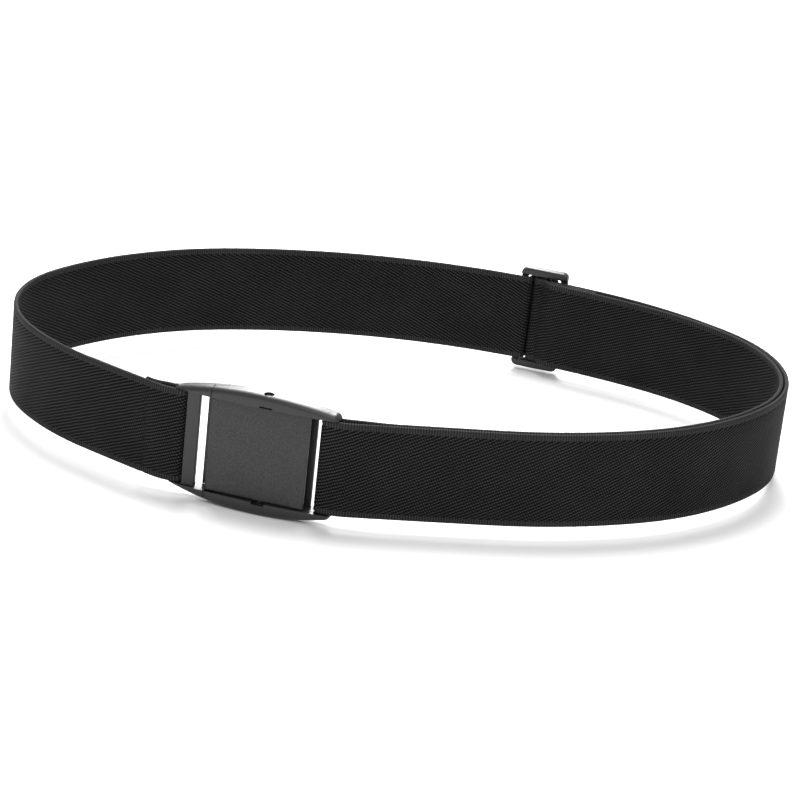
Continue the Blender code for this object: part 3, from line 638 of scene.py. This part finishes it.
@dataclass
class Webbing:
    """One strip of elastic webbing, in the stretches that move together."""

    shop: Workshop
    finishes: Finishes
    half_width: float = 19 * MM
    thickness: float = 1.8 * MM
    layer_gap: float = 0.3 * MM
    layer_play: float = 0.4 * MM
    selvedge: float = 2.4 * MM
    rib_pitch: float = 1.05 * MM
    rib_height: float = 0.05 * MM
    socket_bar_x: float = 45.9 * MM
    tongue_bar_x: float = -13.5 * MM
    bar_y: float = 3.5 * MM
    fold_radius: float = 2.1 * MM
    fold_leg: float = 12 * MM
    socket_merge: float = 28 * MM
    tongue_seam: float = 14 * MM
    tongue_tail: float = 17 * MM
    split: float = 190 * MM
    slider_station: float = 375 * MM
    slider_bar: float = 3 * MM
    slider_slot: float = 6 * MM
    slider_layer: float = 2.3 * MM  # from the slider's middle plane to the layer that lies on it
    slider_seam: float = 22.5 * MM
    slider_tail: float = 25 * MM
    weave_left: float = 13 * MM
    weave_right: float = 27 * MM
    slider_merge: float = 55 * MM
    seam_dent: float = 0.22 * MM
    seam_dent_width: float = 0.9 * MM
    # distances from the edge in millimetres, and the share of the thickness there
    profile: tuple = (
        (0, 0.42), (0.12, 0.68), (0.35, 0.88), (0.8, 0.98), (1.9, 0.96),
        (2.3, 0.76), (2.55, 0.7), (2.8, 0.82), (3.3, 0.97),
    )
    flat_marks: tuple = (8, 13.5)  # more places for points across the flat middle, in millimetres
    rib_start: float = 0.05 * MM  # from the edge
    left_bend: tuple = (25 * MM, 17 * MM)  # from the far and the near end of the left strap
    back_bend: tuple = (40 * MM, 5 * MM)  # from the left and the right end of the back strap
    right_bend: tuple = (-15 * MM, 48 * MM, 55 * MM)  # start in Y, then how far to the left and in Y to the end

    def __post_init__(self) -> None:
        """Works out the belt's line."""
        self.half = self.thickness / 2
        self.layer_step = self.thickness + self.layer_gap
        self.layer_spacing = self.thickness + self.layer_play
        self.line = BeltLine(self.socket_bar_x, self.tongue_bar_x, self.bar_y - self.fold_radius)

    # -- routes

    def near_socket(self, station: float) -> float:
        """How far inside the outer layer the inner one runs, near the socket."""
        return ease(station, self.fold_leg / 2, self.socket_merge, 2 * self.fold_radius, self.layer_spacing)

    def inner_layer(self, station: float) -> float:
        """How far inside the outer layer the inner one runs, up to the slider."""
        if station < self.socket_merge:
            return self.near_socket(station)
        first = self.slider_station - self.weave_right
        return ease(station, first - self.slider_merge, first, self.layer_spacing, 2 * self.layer_step)

    def tongue_layer(self, station: float) -> float:
        """How far inside the outer layer the tongue's tail lies."""
        first, last = self.line.length - self.tongue_seam, self.line.length - self.fold_leg / 2
        return ease(station, first, last, self.layer_spacing, 2 * self.fold_radius)

    def through_slider(self) -> tuple[list[np.ndarray], list[np.ndarray]]:
        """Routes of the running layer and of the folded layer, along the belt and inwards from the slider."""
        bar = self.slider_bar / 2
        slot_end = bar + self.slider_slot
        level = [self.slider_layer + i * self.layer_step for i in range(3)]
        wrap = level[1]
        near = self.layer_gap + self.half
        turns = [near + self.layer_step, near]
        rises = [slot_end - (bar + turn) for turn in turns]
        running = rounded([
            (-self.weave_left, level[0]),
            (-bar - wrap, level[0], near + self.layer_gap),
            (-bar - wrap, -wrap, wrap),
            (bar + turns[0], -wrap, turns[0]),
            (bar + turns[0], level[0], rises[0]),
            (self.weave_right, level[0]),
        ])
        tail = rounded([
            (-bar, -self.slider_layer),
            (bar + turns[1], -self.slider_layer, turns[1]),
            (bar + turns[1], level[1], rises[1]),
            (self.slider_tail, level[1]),
        ])
        crown = rises[1] + self.layer_step
        slope_end = slot_end - crown * math.tan(math.pi / 8)
        slope_start = slope_end - (level[2] - level[0])
        folded = rounded([
            (self.weave_right, level[2]),
            (slope_end, level[2], crown),
            (slope_start, level[0], near),
            (-bar, level[0]),
        ])
        turn = half_turn((-bar, 0), math.pi / 2, self.slider_layer, clockwise=False)
        return running, folded + turn[1:-1] + tail

    def on_line(self, route: list[np.ndarray]) -> list[np.ndarray]:
        """Lays a route of the slider along the belt's line, with points close together."""
        dense = Route(route, 0.3 * MM).points
        return [self.line.at(self.slider_station - a, i - self.slider_layer)[0] for a, i in dense]

    def routes(self) -> dict[str, Route]:
        """Every stretch of the strip, in order from the tail at the tongue to the tail at the slider."""
        line, length = self.line, self.line.length
        weave_first = self.slider_station - self.weave_right
        weave_last = self.slider_station + self.weave_left
        tongue_end = length - self.tongue_tail
        socket = line.run(self.fold_leg, 0)
        socket += half_turn((self.socket_bar_x, self.bar_y), -math.pi / 2, self.fold_radius, clockwise=True)
        socket += line.run(0, self.fold_leg, self.near_socket)
        running, folded = self.through_slider()
        tongue = line.run(tongue_end, length, self.tongue_layer)
        tongue += half_turn((self.tongue_bar_x, self.bar_y), math.pi / 2, self.fold_radius, clockwise=True)
        tongue += line.run(length, tongue_end)
        return {
            "tongue_fold": Route(tongue),
            "left_strap": Route(line.run(tongue_end, length - self.split)),
            "back_strap": Route(line.run(length - self.split, weave_last)),
            "slider_weave": Route(self.on_line(running)),
            "right_outer_strap": Route(line.run(weave_first, self.fold_leg)),
            "socket_fold": Route(socket),
            "right_inner_strap": Route(line.run(self.fold_leg, weave_first, self.inner_layer)),
            "slider_fold": Route(self.on_line(folded)),
        }

    # -- meshes

    def half_thickness(self, from_edge: np.ndarray) -> np.ndarray:
        """Half the strip's thickness at distances from its edge: a rounded edge, a selvedge and a groove."""
        places, shares = np.array(self.profile).T
        return np.interp(from_edge, places * MM, shares) * self.half

    def strip(self, name: str, route: Route, first: float, seams: tuple[float, ...]) -> Piece:
        """Weaves one stretch flat, then lays it along its route.

        Args:
            name: The piece's name.
            route: Where it goes.
            first: Distance along the whole strip where it starts.
            seams: Distances along the stretch where a row of stitches pulls it in.

        Returns:
            The piece, with its UV map in metres.
        """
        levels = [place for place, _ in self.profile[1:]] + [*self.flat_marks]
        marks = [self.half_width - level * MM for level in levels]
        shape = self.shop.block((0, -self.half, -self.half_width), (route.length, self.half, self.half_width))
        self.shop.slice(shape, Vector((0, 0, 1)), [*marks, 0, *(-mark for mark in marks)])
        long_edges = self.shop.spanning(shape, 0, route.length / 2)
        steps = max(4, round(route.length / (self.rib_pitch / 2)))
        bmesh.ops.subdivide_edges(shape, edges=long_edges, cuts=steps - 1, use_grid_fill=True)
        flat = np.array([vertex.co for vertex in shape.verts])
        along, across = flat[:, 0], flat[:, 2]
        from_edge = self.half_width - np.abs(across)
        aside = self.half_thickness(from_edge)
        rib = self.rib_height * np.cos(2 * math.pi * (first + along) / self.rib_pitch)
        aside += np.where((from_edge > self.rib_start) & (from_edge < self.selvedge), rib, 0.0)
        for seam in seams:
            aside -= self.seam_dent * np.exp(-(((along - seam) / self.seam_dent_width) ** 2))
        aside *= np.sign(flat[:, 1])
        plan = route.lay(along, aside)
        weave = shape.loops.layers.uv.new(UV_NAME)
        for face in shape.faces:
            for loop in face.loops:
                spot = flat[loop.vert.index]
                loop[weave].uv = (first + spot[0], spot[2])
        for vertex, (x, y) in zip(shape.verts, plan):
            vertex.co = (x, y, vertex.co.z)
        return self.shop.hold(name, shape)

    def bend(self, piece: Piece, body: Body, start: tuple, end: tuple) -> None:
        """Bakes the piece's placement into its mesh; the piece doesn't follow the socket or any other body."""
        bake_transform(piece)

    def build(self) -> None:
        """Makes the stretches and attaches each one that rides on a single body to it; the straps stay on no
        body.
        """
        routes = self.routes()
        at_tongue = self.tongue_tail - self.tongue_seam
        at_slider = self.weave_right - self.slider_seam
        seams = {
            "tongue_fold": (at_tongue, routes["tongue_fold"].length - at_tongue),
            "slider_fold": (routes["slider_fold"].length - (self.slider_tail - self.slider_seam), at_slider),
            "slider_weave": (routes["slider_weave"].length - at_slider,),
        }
        bodies = {
            "tongue_fold": Body.TONGUE,
            "slider_weave": Body.SLIDER,
            "slider_fold": Body.SLIDER,
            "socket_fold": Body.SOCKET,
        }
        first = 0.0
        for name, route in routes.items():
            piece = self.strip(name, route, first, seams.get(name, ()))
            first += route.length
            node = "webbing_" + name.removesuffix("_strap")
            self.shop.deliver(
                piece, self.finishes.webbing, Slot.WEBBING, node, bodies.get(name), smooth_angle=70
            )
            if name == "left_strap":
                low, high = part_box("webbing_left")
                far, near = self.left_bend
                self.bend(piece, Body.TONGUE, (0, high.y - far, 0), (0, low.y + near, 0))
            elif name == "back_strap":
                low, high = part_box("webbing_back")
                left, right = self.back_bend
                self.bend(piece, Body.SLIDER, (low.x + left, 0, 0), (high.x - right, 0, 0))
            elif name not in bodies:
                _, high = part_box("webbing_right_outer")
                start, back, end = self.right_bend
                self.bend(piece, Body.SLIDER, (high.x, start, 0), (high.x - back, end, 0))


@dataclass
class Stitching:
    """Rows of sewing thread across the webbing."""

    webbing: Webbing
    finishes: Finishes
    thread: float = 0.2 * MM  # radius
    pitch: float = 2.6 * MM
    gap: float = 0.7 * MM
    margin: float = 2.8 * MM
    rows: float = 1.1 * MM  # between two rows

    def stitch(self, shape: Shape, place: Vector, low: float, high: float) -> None:
        """Adds one stitch, an upright grain of thread that dips at both ends."""
        grain = bmesh.ops.create_icosphere(shape, subdivisions=2, radius=1)["verts"]
        bmesh.ops.scale(shape, verts=grain, vec=(self.thread, self.thread, (high - low) / 2))
        bmesh.ops.translate(shape, verts=grain, vec=place + Vector((0, 0, (high + low) / 2)))

    def row(self, name: str, spots: list[tuple[float, float]], node: str, body: Body) -> None:
        """Sews double rows at places on the belt's line.

        Args:
            name: The piece's name.
            spots: Station and distance inwards of the middle of each double row.
            node: The CAD node that it stands for.
            body: The body that it rides on.
        """
        shop = self.webbing.shop
        shape = bmesh.new()
        top = self.webbing.half_width - self.margin
        for station, inwards in spots:
            for shift in (-self.rows / 2, self.rows / 2):
                spot, _ = self.webbing.line.at(station + shift, inwards)
                low = -top
                while low < top - self.gap:
                    high = min(low + self.pitch - self.gap, top)
                    self.stitch(shape, Vector((spot[0], spot[1], 0)), low, high)
                    low += self.pitch
        piece = shop.hold(name, shape)
        shop.deliver(piece, self.finishes.thread, Slot.THREAD, node, body, smooth_angle=80)

    def build(self) -> None:
        """Sews the seam at the tongue on both faces of the webbing, and the one behind the slider on one."""
        belt = self.webbing
        face = belt.half - belt.seam_dent
        seam = belt.line.length - belt.tongue_seam
        spots = [(seam, -face), (seam, belt.layer_spacing + face)]
        self.row("tongue_stitches", spots, "tongue_stitching", Body.TONGUE)
        seam = belt.slider_station - belt.slider_seam
        self.row("slider_stitches", [(seam, 2 * belt.layer_step + face)], "slider_stitching", Body.SLIDER)


@dataclass
class Buckle:
    """The press-to-open buckle: socket half, tongue half, release plate, pins and spring."""

    shop: Workshop
    finishes: Finishes
    plate_length: float = 39.5 * MM
    plate_half: float = 18.9 * MM
    plate_thickness: float = 1.6 * MM
    gap: float = 0.3 * MM
    left: float = -16.4 * MM
    right: float = 50.3 * MM
    crown_x: float = 19.75 * MM
    crown: float = 24.468 * MM
    crown_radius: float = 140 * MM
    front: float = -1.9 * MM
    front_radius: float = 240 * MM
    back: float = 6.7 * MM
    rounding: float = 3.0 * MM
    inner: float = 19.2 * MM
    crease: float = 0.9 * MM  # rounding of the rails towards the plate
    pocket: float = 19.3 * MM
    channel_top: float = 22.0 * MM
    arm_low: float = 19.5 * MM
    arm_high: float = 21.7 * MM
    arm_front: float = 2.9 * MM
    arm_back: float = 4.7 * MM
    shoulder: tuple = (5 * MM, 3 * MM, 22.2 * MM)  # how far right, its front and its underside
    pivot: tuple = (22 * MM, 1.3 * MM)
    pin_radius: float = 0.8 * MM
    head_radius: float = 1.7 * MM
    head_seat: float = 22.6 * MM
    bar_y: float = 3.5 * MM
    bar_half: float = 0.9 * MM
    socket_bar: tuple = (45.9 * MM, 48.5 * MM)
    tongue_bar: tuple = (-16.1 * MM, -13.5 * MM)
    flat_bar: tuple = (-10.2 * MM, -5 * MM)
    flat_bar_depth: tuple = (0.9 * MM, 3.3 * MM)
    floor: tuple = (-3.1 * MM, 41 * MM, 5.6 * MM, 6.6 * MM)
    window: tuple = (7 * MM, 37.6 * MM, 6 * MM)
    catch: tuple = (29.7 * MM, 32.7 * MM, 3 * MM, 4.3 * MM)
    catch_room: float = 1.2 * MM  # from the catch bar to the end of the arms' channel
    recess_width: float = 5 * MM
    recess_depth: float = 0.9 * MM
    pin_play: float = 0.15 * MM
    head_length: float = 0.9 * MM
    boss: tuple = ((34.2 * MM, 0.8 * MM, -4 * MM), (36.7 * MM, 4.3 * MM, 4 * MM))
    lug: tuple = (2.2 * MM, 2.6 * MM, 4 * MM)  # half its width, its back and how far it reaches inwards
    pin_reach: float = 3 * MM  # into the plate's lug
    pin_root: float = 0.3 * MM  # how far the shaft reaches into the head
    dome: float = 0.35 * MM
    bore_depth: float = 3.3 * MM
    plate_corner: float = 0.5 * MM
    plate_edge: float = 0.3 * MM
    lug_inset: float = 0.35 * MM  # from the plate's edge
    bar_rounding: float = 0.55 * MM
    flat_bar_rounding: float = 0.4 * MM
    window_rounding: float = 0.9 * MM
    floor_inset: float = 0.1 * MM
    step_margin: float = 0.1 * MM  # from the flat bar to the step where the rail widens
    arm_left: float = -6 * MM
    arm_tip: float = 0.2 * MM  # past the catch bar
    edge_break: float = 0.14 * MM
    slices: int = 33  # lengthways parts of a rail

    def __post_init__(self) -> None:
        """Sets how far cutting shapes reach, past everything."""
        self.far = self.crown + 5 * MM

    def rim(self, x: float) -> float:
        """Half the height of the buckle at x."""
        return self.crown - self.crown_radius + math.sqrt(self.crown_radius**2 - (x - self.crown_x) ** 2)

    def nose(self, x: float) -> float:
        """The front of the rails at x."""
        return self.front + self.front_radius - math.sqrt(self.front_radius**2 - (x - self.crown_x) ** 2)

    def rail(self, first: float, last: float, side: Side) -> Piece:
        """One rail between two places, crowned upwards and forwards, with a rounded back and front.

        Args:
            first: Its left end.
            last: Its right end.
            side: Upper or lower.

        Returns:
            The rail, solid and flat on its inner face.
        """
        root = self.inner - 2 * self.rounding
        shape = self.shop.block((self.left, self.front, root), (self.right, self.back, self.crown))
        marks = np.linspace(self.left, self.right, self.slices + 1)[1:-1]
        self.shop.slice(shape, Vector((1, 0, 0)), marks)
        for vertex in shape.verts:
            if vertex.co.z > self.inner:
                vertex.co.z = self.rim(vertex.co.x)
            if vertex.co.y < 0:
                vertex.co.y = self.nose(vertex.co.x)
        self.shop.round_off(shape, self.shop.sharp_edges(shape), self.rounding, 8)
        self.shop.bisect(shape, (0, 0, self.inner), (0, 0, -1))
        for place, way in ((first, (-1, 0, 0)), (last, (1, 0, 0))):
            if self.left < place < self.right:
                self.shop.bisect(shape, (place, 0, 0), way)
        open_edges = [edge for edge in shape.edges if edge.is_boundary]
        bmesh.ops.holes_fill(shape, edges=open_edges, sides=0)
        crease = [
            e for e in self.shop.spanning(shape, 0, 0.01 * MM)
            if all(abs(v.co.z - self.inner) < 1e-6 and v.co.y < 0 for v in e.verts)
        ]
        self.shop.round_off(shape, crease, self.crease, 5)
        bmesh.ops.triangulate(shape, faces=shape.faces)
        bmesh.ops.recalc_face_normals(shape, faces=shape.faces)
        return self.shop.hold("rail", self.shop.mirrored(shape, side))

    def take(self, piece: Piece) -> Shape:
        """The piece's mesh as a bmesh; the piece is used up."""
        shape = bmesh.new()
        shape.from_mesh(piece.data)
        bpy.data.objects.remove(piece)
        return shape

    def box(self, side: Side, low: tuple, high: tuple) -> Shape:
        """A box on one side."""
        return self.shop.mirrored(self.shop.block(low, high), side)

    def pivot_rod(self, side: Side, radius: float, low: float, high: float) -> Shape:
        """A round bar on the axis of the pins, on one side."""
        return self.shop.mirrored(self.shop.rod(radius, low, high, *self.pivot), side)

    def soft_block(self, low: tuple, high: tuple, width: float) -> Shape:
        """A box with all its edges rounded."""
        shape = self.shop.block(low, high)
        self.shop.round_off(shape, shape.edges, width, 4)
        return shape

    def crossbar(self, span: tuple[float, float]) -> Shape:
        """The bar from rail to rail that the webbing is folded round."""
        reach, half = self.pocket + OVER, self.bar_half
        return self.soft_block(
            (span[0], self.bar_y - half, -reach), (span[1], self.bar_y + half, reach), self.bar_rounding
        )

    def socket_half(self) -> None:
        """Rails with their pin holes, the floor with its window, and the crossbar."""
        gap, far, inset = self.gap, self.far, self.floor_inset
        left, right, floor_front, floor_back = self.floor
        reach = self.inner + OVER
        shape = self.shop.block((inset, floor_front, -reach), (right, floor_back, reach))
        piece = self.shop.hold("socket_half", shape)
        window_left, window_right, window_half = self.window
        window = self.soft_block(
            (window_left, floor_front - 2 * OVER, -window_half),
            (window_right, floor_back + 2 * OVER, window_half),
            self.window_rounding,
        )
        self.shop.combine(piece, [window], "DIFFERENCE")
        shoulder_right, shoulder_front, shoulder_low = self.shoulder
        pivot_x, half_recess = self.pivot[0], self.recess_width / 2
        channel_front, channel_end = self.arm_front - gap, self.catch[1] + self.catch_room
        rooms = (
            ((-OVER, shoulder_front - gap, shoulder_low - gap), (shoulder_right + gap, self.back + OVER, far)),
            ((-OVER, channel_front, 0), (channel_end, self.arm_back + gap, self.channel_top)),
            ((right + OVER, -far, 0), (self.right + OVER, far, self.pocket)),
            (
                (pivot_x - half_recess, self.front - OVER, 0),
                (pivot_x + half_recess, channel_front - OVER, self.inner + self.recess_depth),
            ),
        )
        rails = []
        for side in Side:
            rail = self.rail(0, self.right, side)
            cuts = [self.box(side, *room) for room in rooms]
            cuts.append(self.pivot_rod(side, self.pin_radius + self.pin_play, 0, far - 4 * MM))
            cuts.append(self.pivot_rod(side, self.head_radius + gap, self.head_seat, far))
            self.shop.combine(rail, cuts, "DIFFERENCE")
            rails.append(self.take(rail))
        lip = self.shop.block(
            (left, floor_front, -self.plate_half), (OVER, floor_back - inset, self.plate_half)
        )
        self.shop.combine(piece, [lip, *rails, self.crossbar(self.socket_bar)], "UNION")
        self.shop.soften(piece, self.edge_break)
        self.shop.deliver(piece, self.finishes.rails, Slot.BUCKLE, "socket_frame", Body.SOCKET)

    def tongue_half(self) -> None:
        """Rail ends with their shoulders and arms, the flat bar, the crossbar and the catch bar."""
        seam, far = -self.gap, self.far
        reach = self.inner + OVER
        bar_left, bar_right = self.flat_bar
        bar_front, bar_back = self.flat_bar_depth
        shape = self.shop.block((bar_left, bar_front, -reach), (bar_right, bar_back, reach))
        self.shop.round_off(shape, self.shop.spanning(shape, 2, reach), self.flat_bar_rounding, 3)
        piece = self.shop.hold("tongue_half", shape)
        shoulder_right, shoulder_front, shoulder_low = self.shoulder
        catch_left, catch_right, catch_front, catch_back = self.catch
        rooms = (
            ((seam, -far, 0), (far, shoulder_front, far)),
            ((seam, 0, 0), (far, far, shoulder_low)),
            ((self.left - OVER, -far, 0), (bar_left - self.step_margin, far, self.pocket)),
        )
        arm_start = (self.arm_left, self.arm_front, self.arm_low)
        arm_end = (catch_right + self.arm_tip, self.arm_back, self.arm_high)
        joined = []
        for side in Side:
            rail = self.rail(self.left, shoulder_right, side)
            self.shop.combine(rail, [self.box(side, *room) for room in rooms], "DIFFERENCE")
            joined += [self.take(rail), self.box(side, arm_start, arm_end)]
        catch = self.shop.block((catch_left, catch_front, -reach), (catch_right, catch_back, reach))
        self.shop.combine(piece, [*joined, self.crossbar(self.tongue_bar), catch], "UNION")
        self.shop.soften(piece, self.edge_break)
        self.shop.deliver(piece, self.finishes.rails, Slot.BUCKLE, "tongue_frame", Body.TONGUE)

    def release_plate(self) -> None:
        """The plate, softly edged, with its lugs and its boss."""
        half, middle = self.plate_half, self.plate_thickness / 2
        shape = self.shop.block((0, 0, -half), (self.plate_length, self.plate_thickness, half))
        self.shop.round_off(shape, self.shop.spanning(shape, 1, middle), self.plate_corner, 4)
        self.shop.round_off(shape, self.shop.sharp_edges(shape), self.plate_edge, 4)
        piece = self.shop.hold("release_plate_face", shape)
        pivot_x, high = self.pivot[0], half - self.lug_inset
        lug_half, lug_back, lug_depth = self.lug
        lug = ((pivot_x - lug_half, middle, high - lug_depth), (pivot_x + lug_half, lug_back, high))
        boss = self.soft_block(*self.boss, self.plate_edge)
        self.shop.combine(piece, [boss, *(self.box(side, *lug) for side in Side)], "UNION")
        bore = (self.pin_radius + self.pin_play, half - self.bore_depth, half + OVER)
        self.shop.combine(piece, [self.pivot_rod(side, *bore) for side in Side], "DIFFERENCE")
        self.shop.deliver(
            piece, self.finishes.plate, Slot.PLATE, "release_plate", Body.PLATE, smooth_angle=30
        )

    def pins(self) -> None:
        """The two headed pins, each with a domed head."""
        seat = self.head_seat + self.pin_play
        for name, side in (("upper", Side.UPPER), ("lower", Side.LOWER)):
            low = self.plate_half - self.pin_reach
            shaft = self.pivot_rod(side, self.pin_radius, low, seat + self.pin_root)
            piece = self.shop.hold("pin_" + name, shaft)
            head = self.shop.rod(self.head_radius, seat, seat + self.head_length, *self.pivot)
            top = [e for e in head.edges if min(v.co.z for v in e.verts) > seat + self.head_length / 2]
            self.shop.round_off(head, top, self.dome, 4)
            self.shop.combine(piece, [self.shop.mirrored(head, side)], "UNION")
            self.shop.deliver(piece, self.finishes.pin, Slot.PIN, "hinge_pin_" + name, Body.SOCKET)

    def spring(self) -> None:
        """The leaf spring keeps its CAD shape."""
        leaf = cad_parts["latch_spring"]
        leaf.data.materials.clear()
        leaf.data.materials.append(self.finishes.spring)

    def build(self) -> None:
        """Makes every piece of the buckle."""
        self.socket_half()
        self.tongue_half()
        self.release_plate()
        self.pins()
        self.spring()


@dataclass
class Slider:
    """The three-bar slider."""

    shop: Workshop
    finishes: Finishes
    line: BeltLine
    station: float
    off: float  # from the belt's line out to the slider's middle plane
    half_length: float = 10.5 * MM
    half_height: float = 23 * MM
    half_thickness: float = 1.1 * MM
    bar: float = 3 * MM
    slot: float = 6 * MM
    slot_half: float = 19.6 * MM
    corner: float = 2.6 * MM
    edge: float = 0.75 * MM
    end_bar: float = 3.2 * MM
    end_half_thickness: float = 2.1 * MM
    slot_corner: float = 0.8 * MM
    edge_break: float = 0.3 * MM

    def build(self) -> None:
        """A rounded frame with two slots and thicker ends, turned to the belt's line."""
        depth, length, height = self.half_thickness, self.half_length, self.half_height
        shape = self.shop.block((-length, -depth, -height), (length, depth, height))
        self.shop.round_off(shape, self.shop.spanning(shape, 1, depth), self.corner, 8)
        self.shop.round_off(shape, self.shop.sharp_edges(shape), self.edge, 6)
        piece = self.shop.hold("slider_frame_body", shape)
        near, deep = self.bar / 2, 5 * MM
        slots = []
        for low, high in ((near, near + self.slot), (-near - self.slot, -near)):
            room = self.shop.block((low, -deep, -self.slot_half), (high, deep, self.slot_half))
            self.shop.round_off(room, self.shop.spanning(room, 1, OVER), self.slot_corner, 4)
            slots.append(room)
        self.shop.combine(piece, slots, "DIFFERENCE")
        ends = []
        for side in Side:
            end_depth = self.end_half_thickness
            bar = self.shop.block((-length, -end_depth, height - self.end_bar), (length, end_depth, height))
            tips = [
                e for e in self.shop.spanning(bar, 1, depth) if min(v.co.z for v in e.verts) > height - 1e-6
            ]
            self.shop.round_off(bar, tips, self.corner, 8)
            self.shop.round_off(bar, self.shop.sharp_edges(bar), self.edge, 6)
            ends.append(self.shop.mirrored(bar, side))
        self.shop.combine(piece, ends, "UNION")
        spot, heading = self.line.at(self.station, self.off)
        turn = Matrix.Translation((spot[0], spot[1], 0)) @ Matrix.Rotation(heading, 4, "Z")
        piece.data.transform(turn)
        self.shop.soften(piece, self.edge_break, 3)
        self.shop.deliver(piece, self.finishes.slider, Slot.SLIDER, "slider_frame", Body.SLIDER)


@dataclass
class Studio:
    """A pale floor, soft lights and the camera."""

    shop: Workshop
    camera_place: tuple = (0.315382, -0.923448, 0.399964)  # in the buckle's frame
    heading: float = 14.712  # degrees, anticlockwise from +Y
    pitch: float = 21.006  # degrees, down
    roll: float = 6.332
    lens: float = 124.6
    floor_size: float = 8.0
    floor_shade: float = 0.9
    sensor_width: float = 36
    sky_strength: float = 0.6
    lamps: tuple = (  # name, place, aim, size and power
        ("overhead", (-0.15, 0.35, 1.1), (0, 0, 0), 0.7, 19),
        ("back", (-0.3, 0.95, 0.6), (0.05, -0.05, 0), 0.35, 11),
        ("front", (0.25, -1.0, 1.0), (0, -0.05, 0.02), 0.5, 5),
    )

    def floor(self) -> None:
        """A plain pale floor."""
        shape = bmesh.new()
        bmesh.ops.create_grid(shape, x_segments=1, y_segments=1, size=self.floor_size / 2)
        floor = self.shop.hold("floor", shape)
        nodes = NodeSketch("pale_floor")
        nodes.shader.inputs["Base Color"].default_value = (*grey(self.floor_shade), 1)
        nodes.set(Roughness=0.9, Specular_IOR_Level=0.1)
        floor.data.materials.append(nodes.material)

    def lamp(self, name: str, place: tuple, aim: tuple, size: float, power: float) -> None:
        """A soft square light that looks at a point."""
        light = bpy.data.lights.new(name, "AREA")
        light.shape = "SQUARE"
        light.size = size
        light.energy = power
        made = bpy.data.objects.new(name, light)
        made.location = place
        made.rotation_euler = (Vector(aim) - Vector(place)).to_track_quat("-Z", "Y").to_euler()
        bpy.context.scene.collection.objects.link(made)

    def sky(self) -> None:
        """An even white surround."""
        world = bpy.data.worlds.new("surround")
        world.use_nodes = True
        background = world.node_tree.nodes["Background"]
        background.inputs["Color"].default_value = (1, 1, 1, 1)
        background.inputs["Strength"].default_value = self.sky_strength
        bpy.context.scene.world = world

    def camera(self) -> None:
        """The camera, turned to the buckle, pitched down and rolled a little."""
        data = bpy.data.cameras.new("camera")
        data.lens = self.lens
        data.sensor_width = self.sensor_width
        made = bpy.data.objects.new("camera", data)
        turn = Matrix.Rotation(math.radians(self.heading), 4, "Z")
        tilt = Matrix.Rotation(math.radians(90 - self.pitch), 4, "X")
        lean = Matrix.Rotation(math.radians(self.roll), 4, "Z")
        made.matrix_world = Matrix.Translation(self.shop.place(*self.camera_place)) @ turn @ tilt @ lean
        bpy.context.scene.collection.objects.link(made)
        bpy.context.scene.camera = made

    def build(self) -> None:
        """Sets up the floor, the lights and the camera."""
        bpy.context.scene.view_settings.view_transform = "Standard"
        self.floor()
        self.sky()
        for lamp in self.lamps:
            self.lamp(*lamp)
        self.camera()


def main() -> None:
    """Builds the belt and the studio, and reports each piece."""
    logging.basicConfig(level=logging.INFO, format="%(name)s %(message)s")
    shop = Workshop()
    finishes = Finishes()
    webbing = Webbing(shop, finishes)
    webbing.build()
    Stitching(webbing, finishes).build()
    Buckle(shop, finishes).build()
    Slider(shop, finishes, webbing.line, webbing.slider_station, -webbing.slider_layer).build()
    Studio(shop).build()


if __name__ == "__main__":
    main()
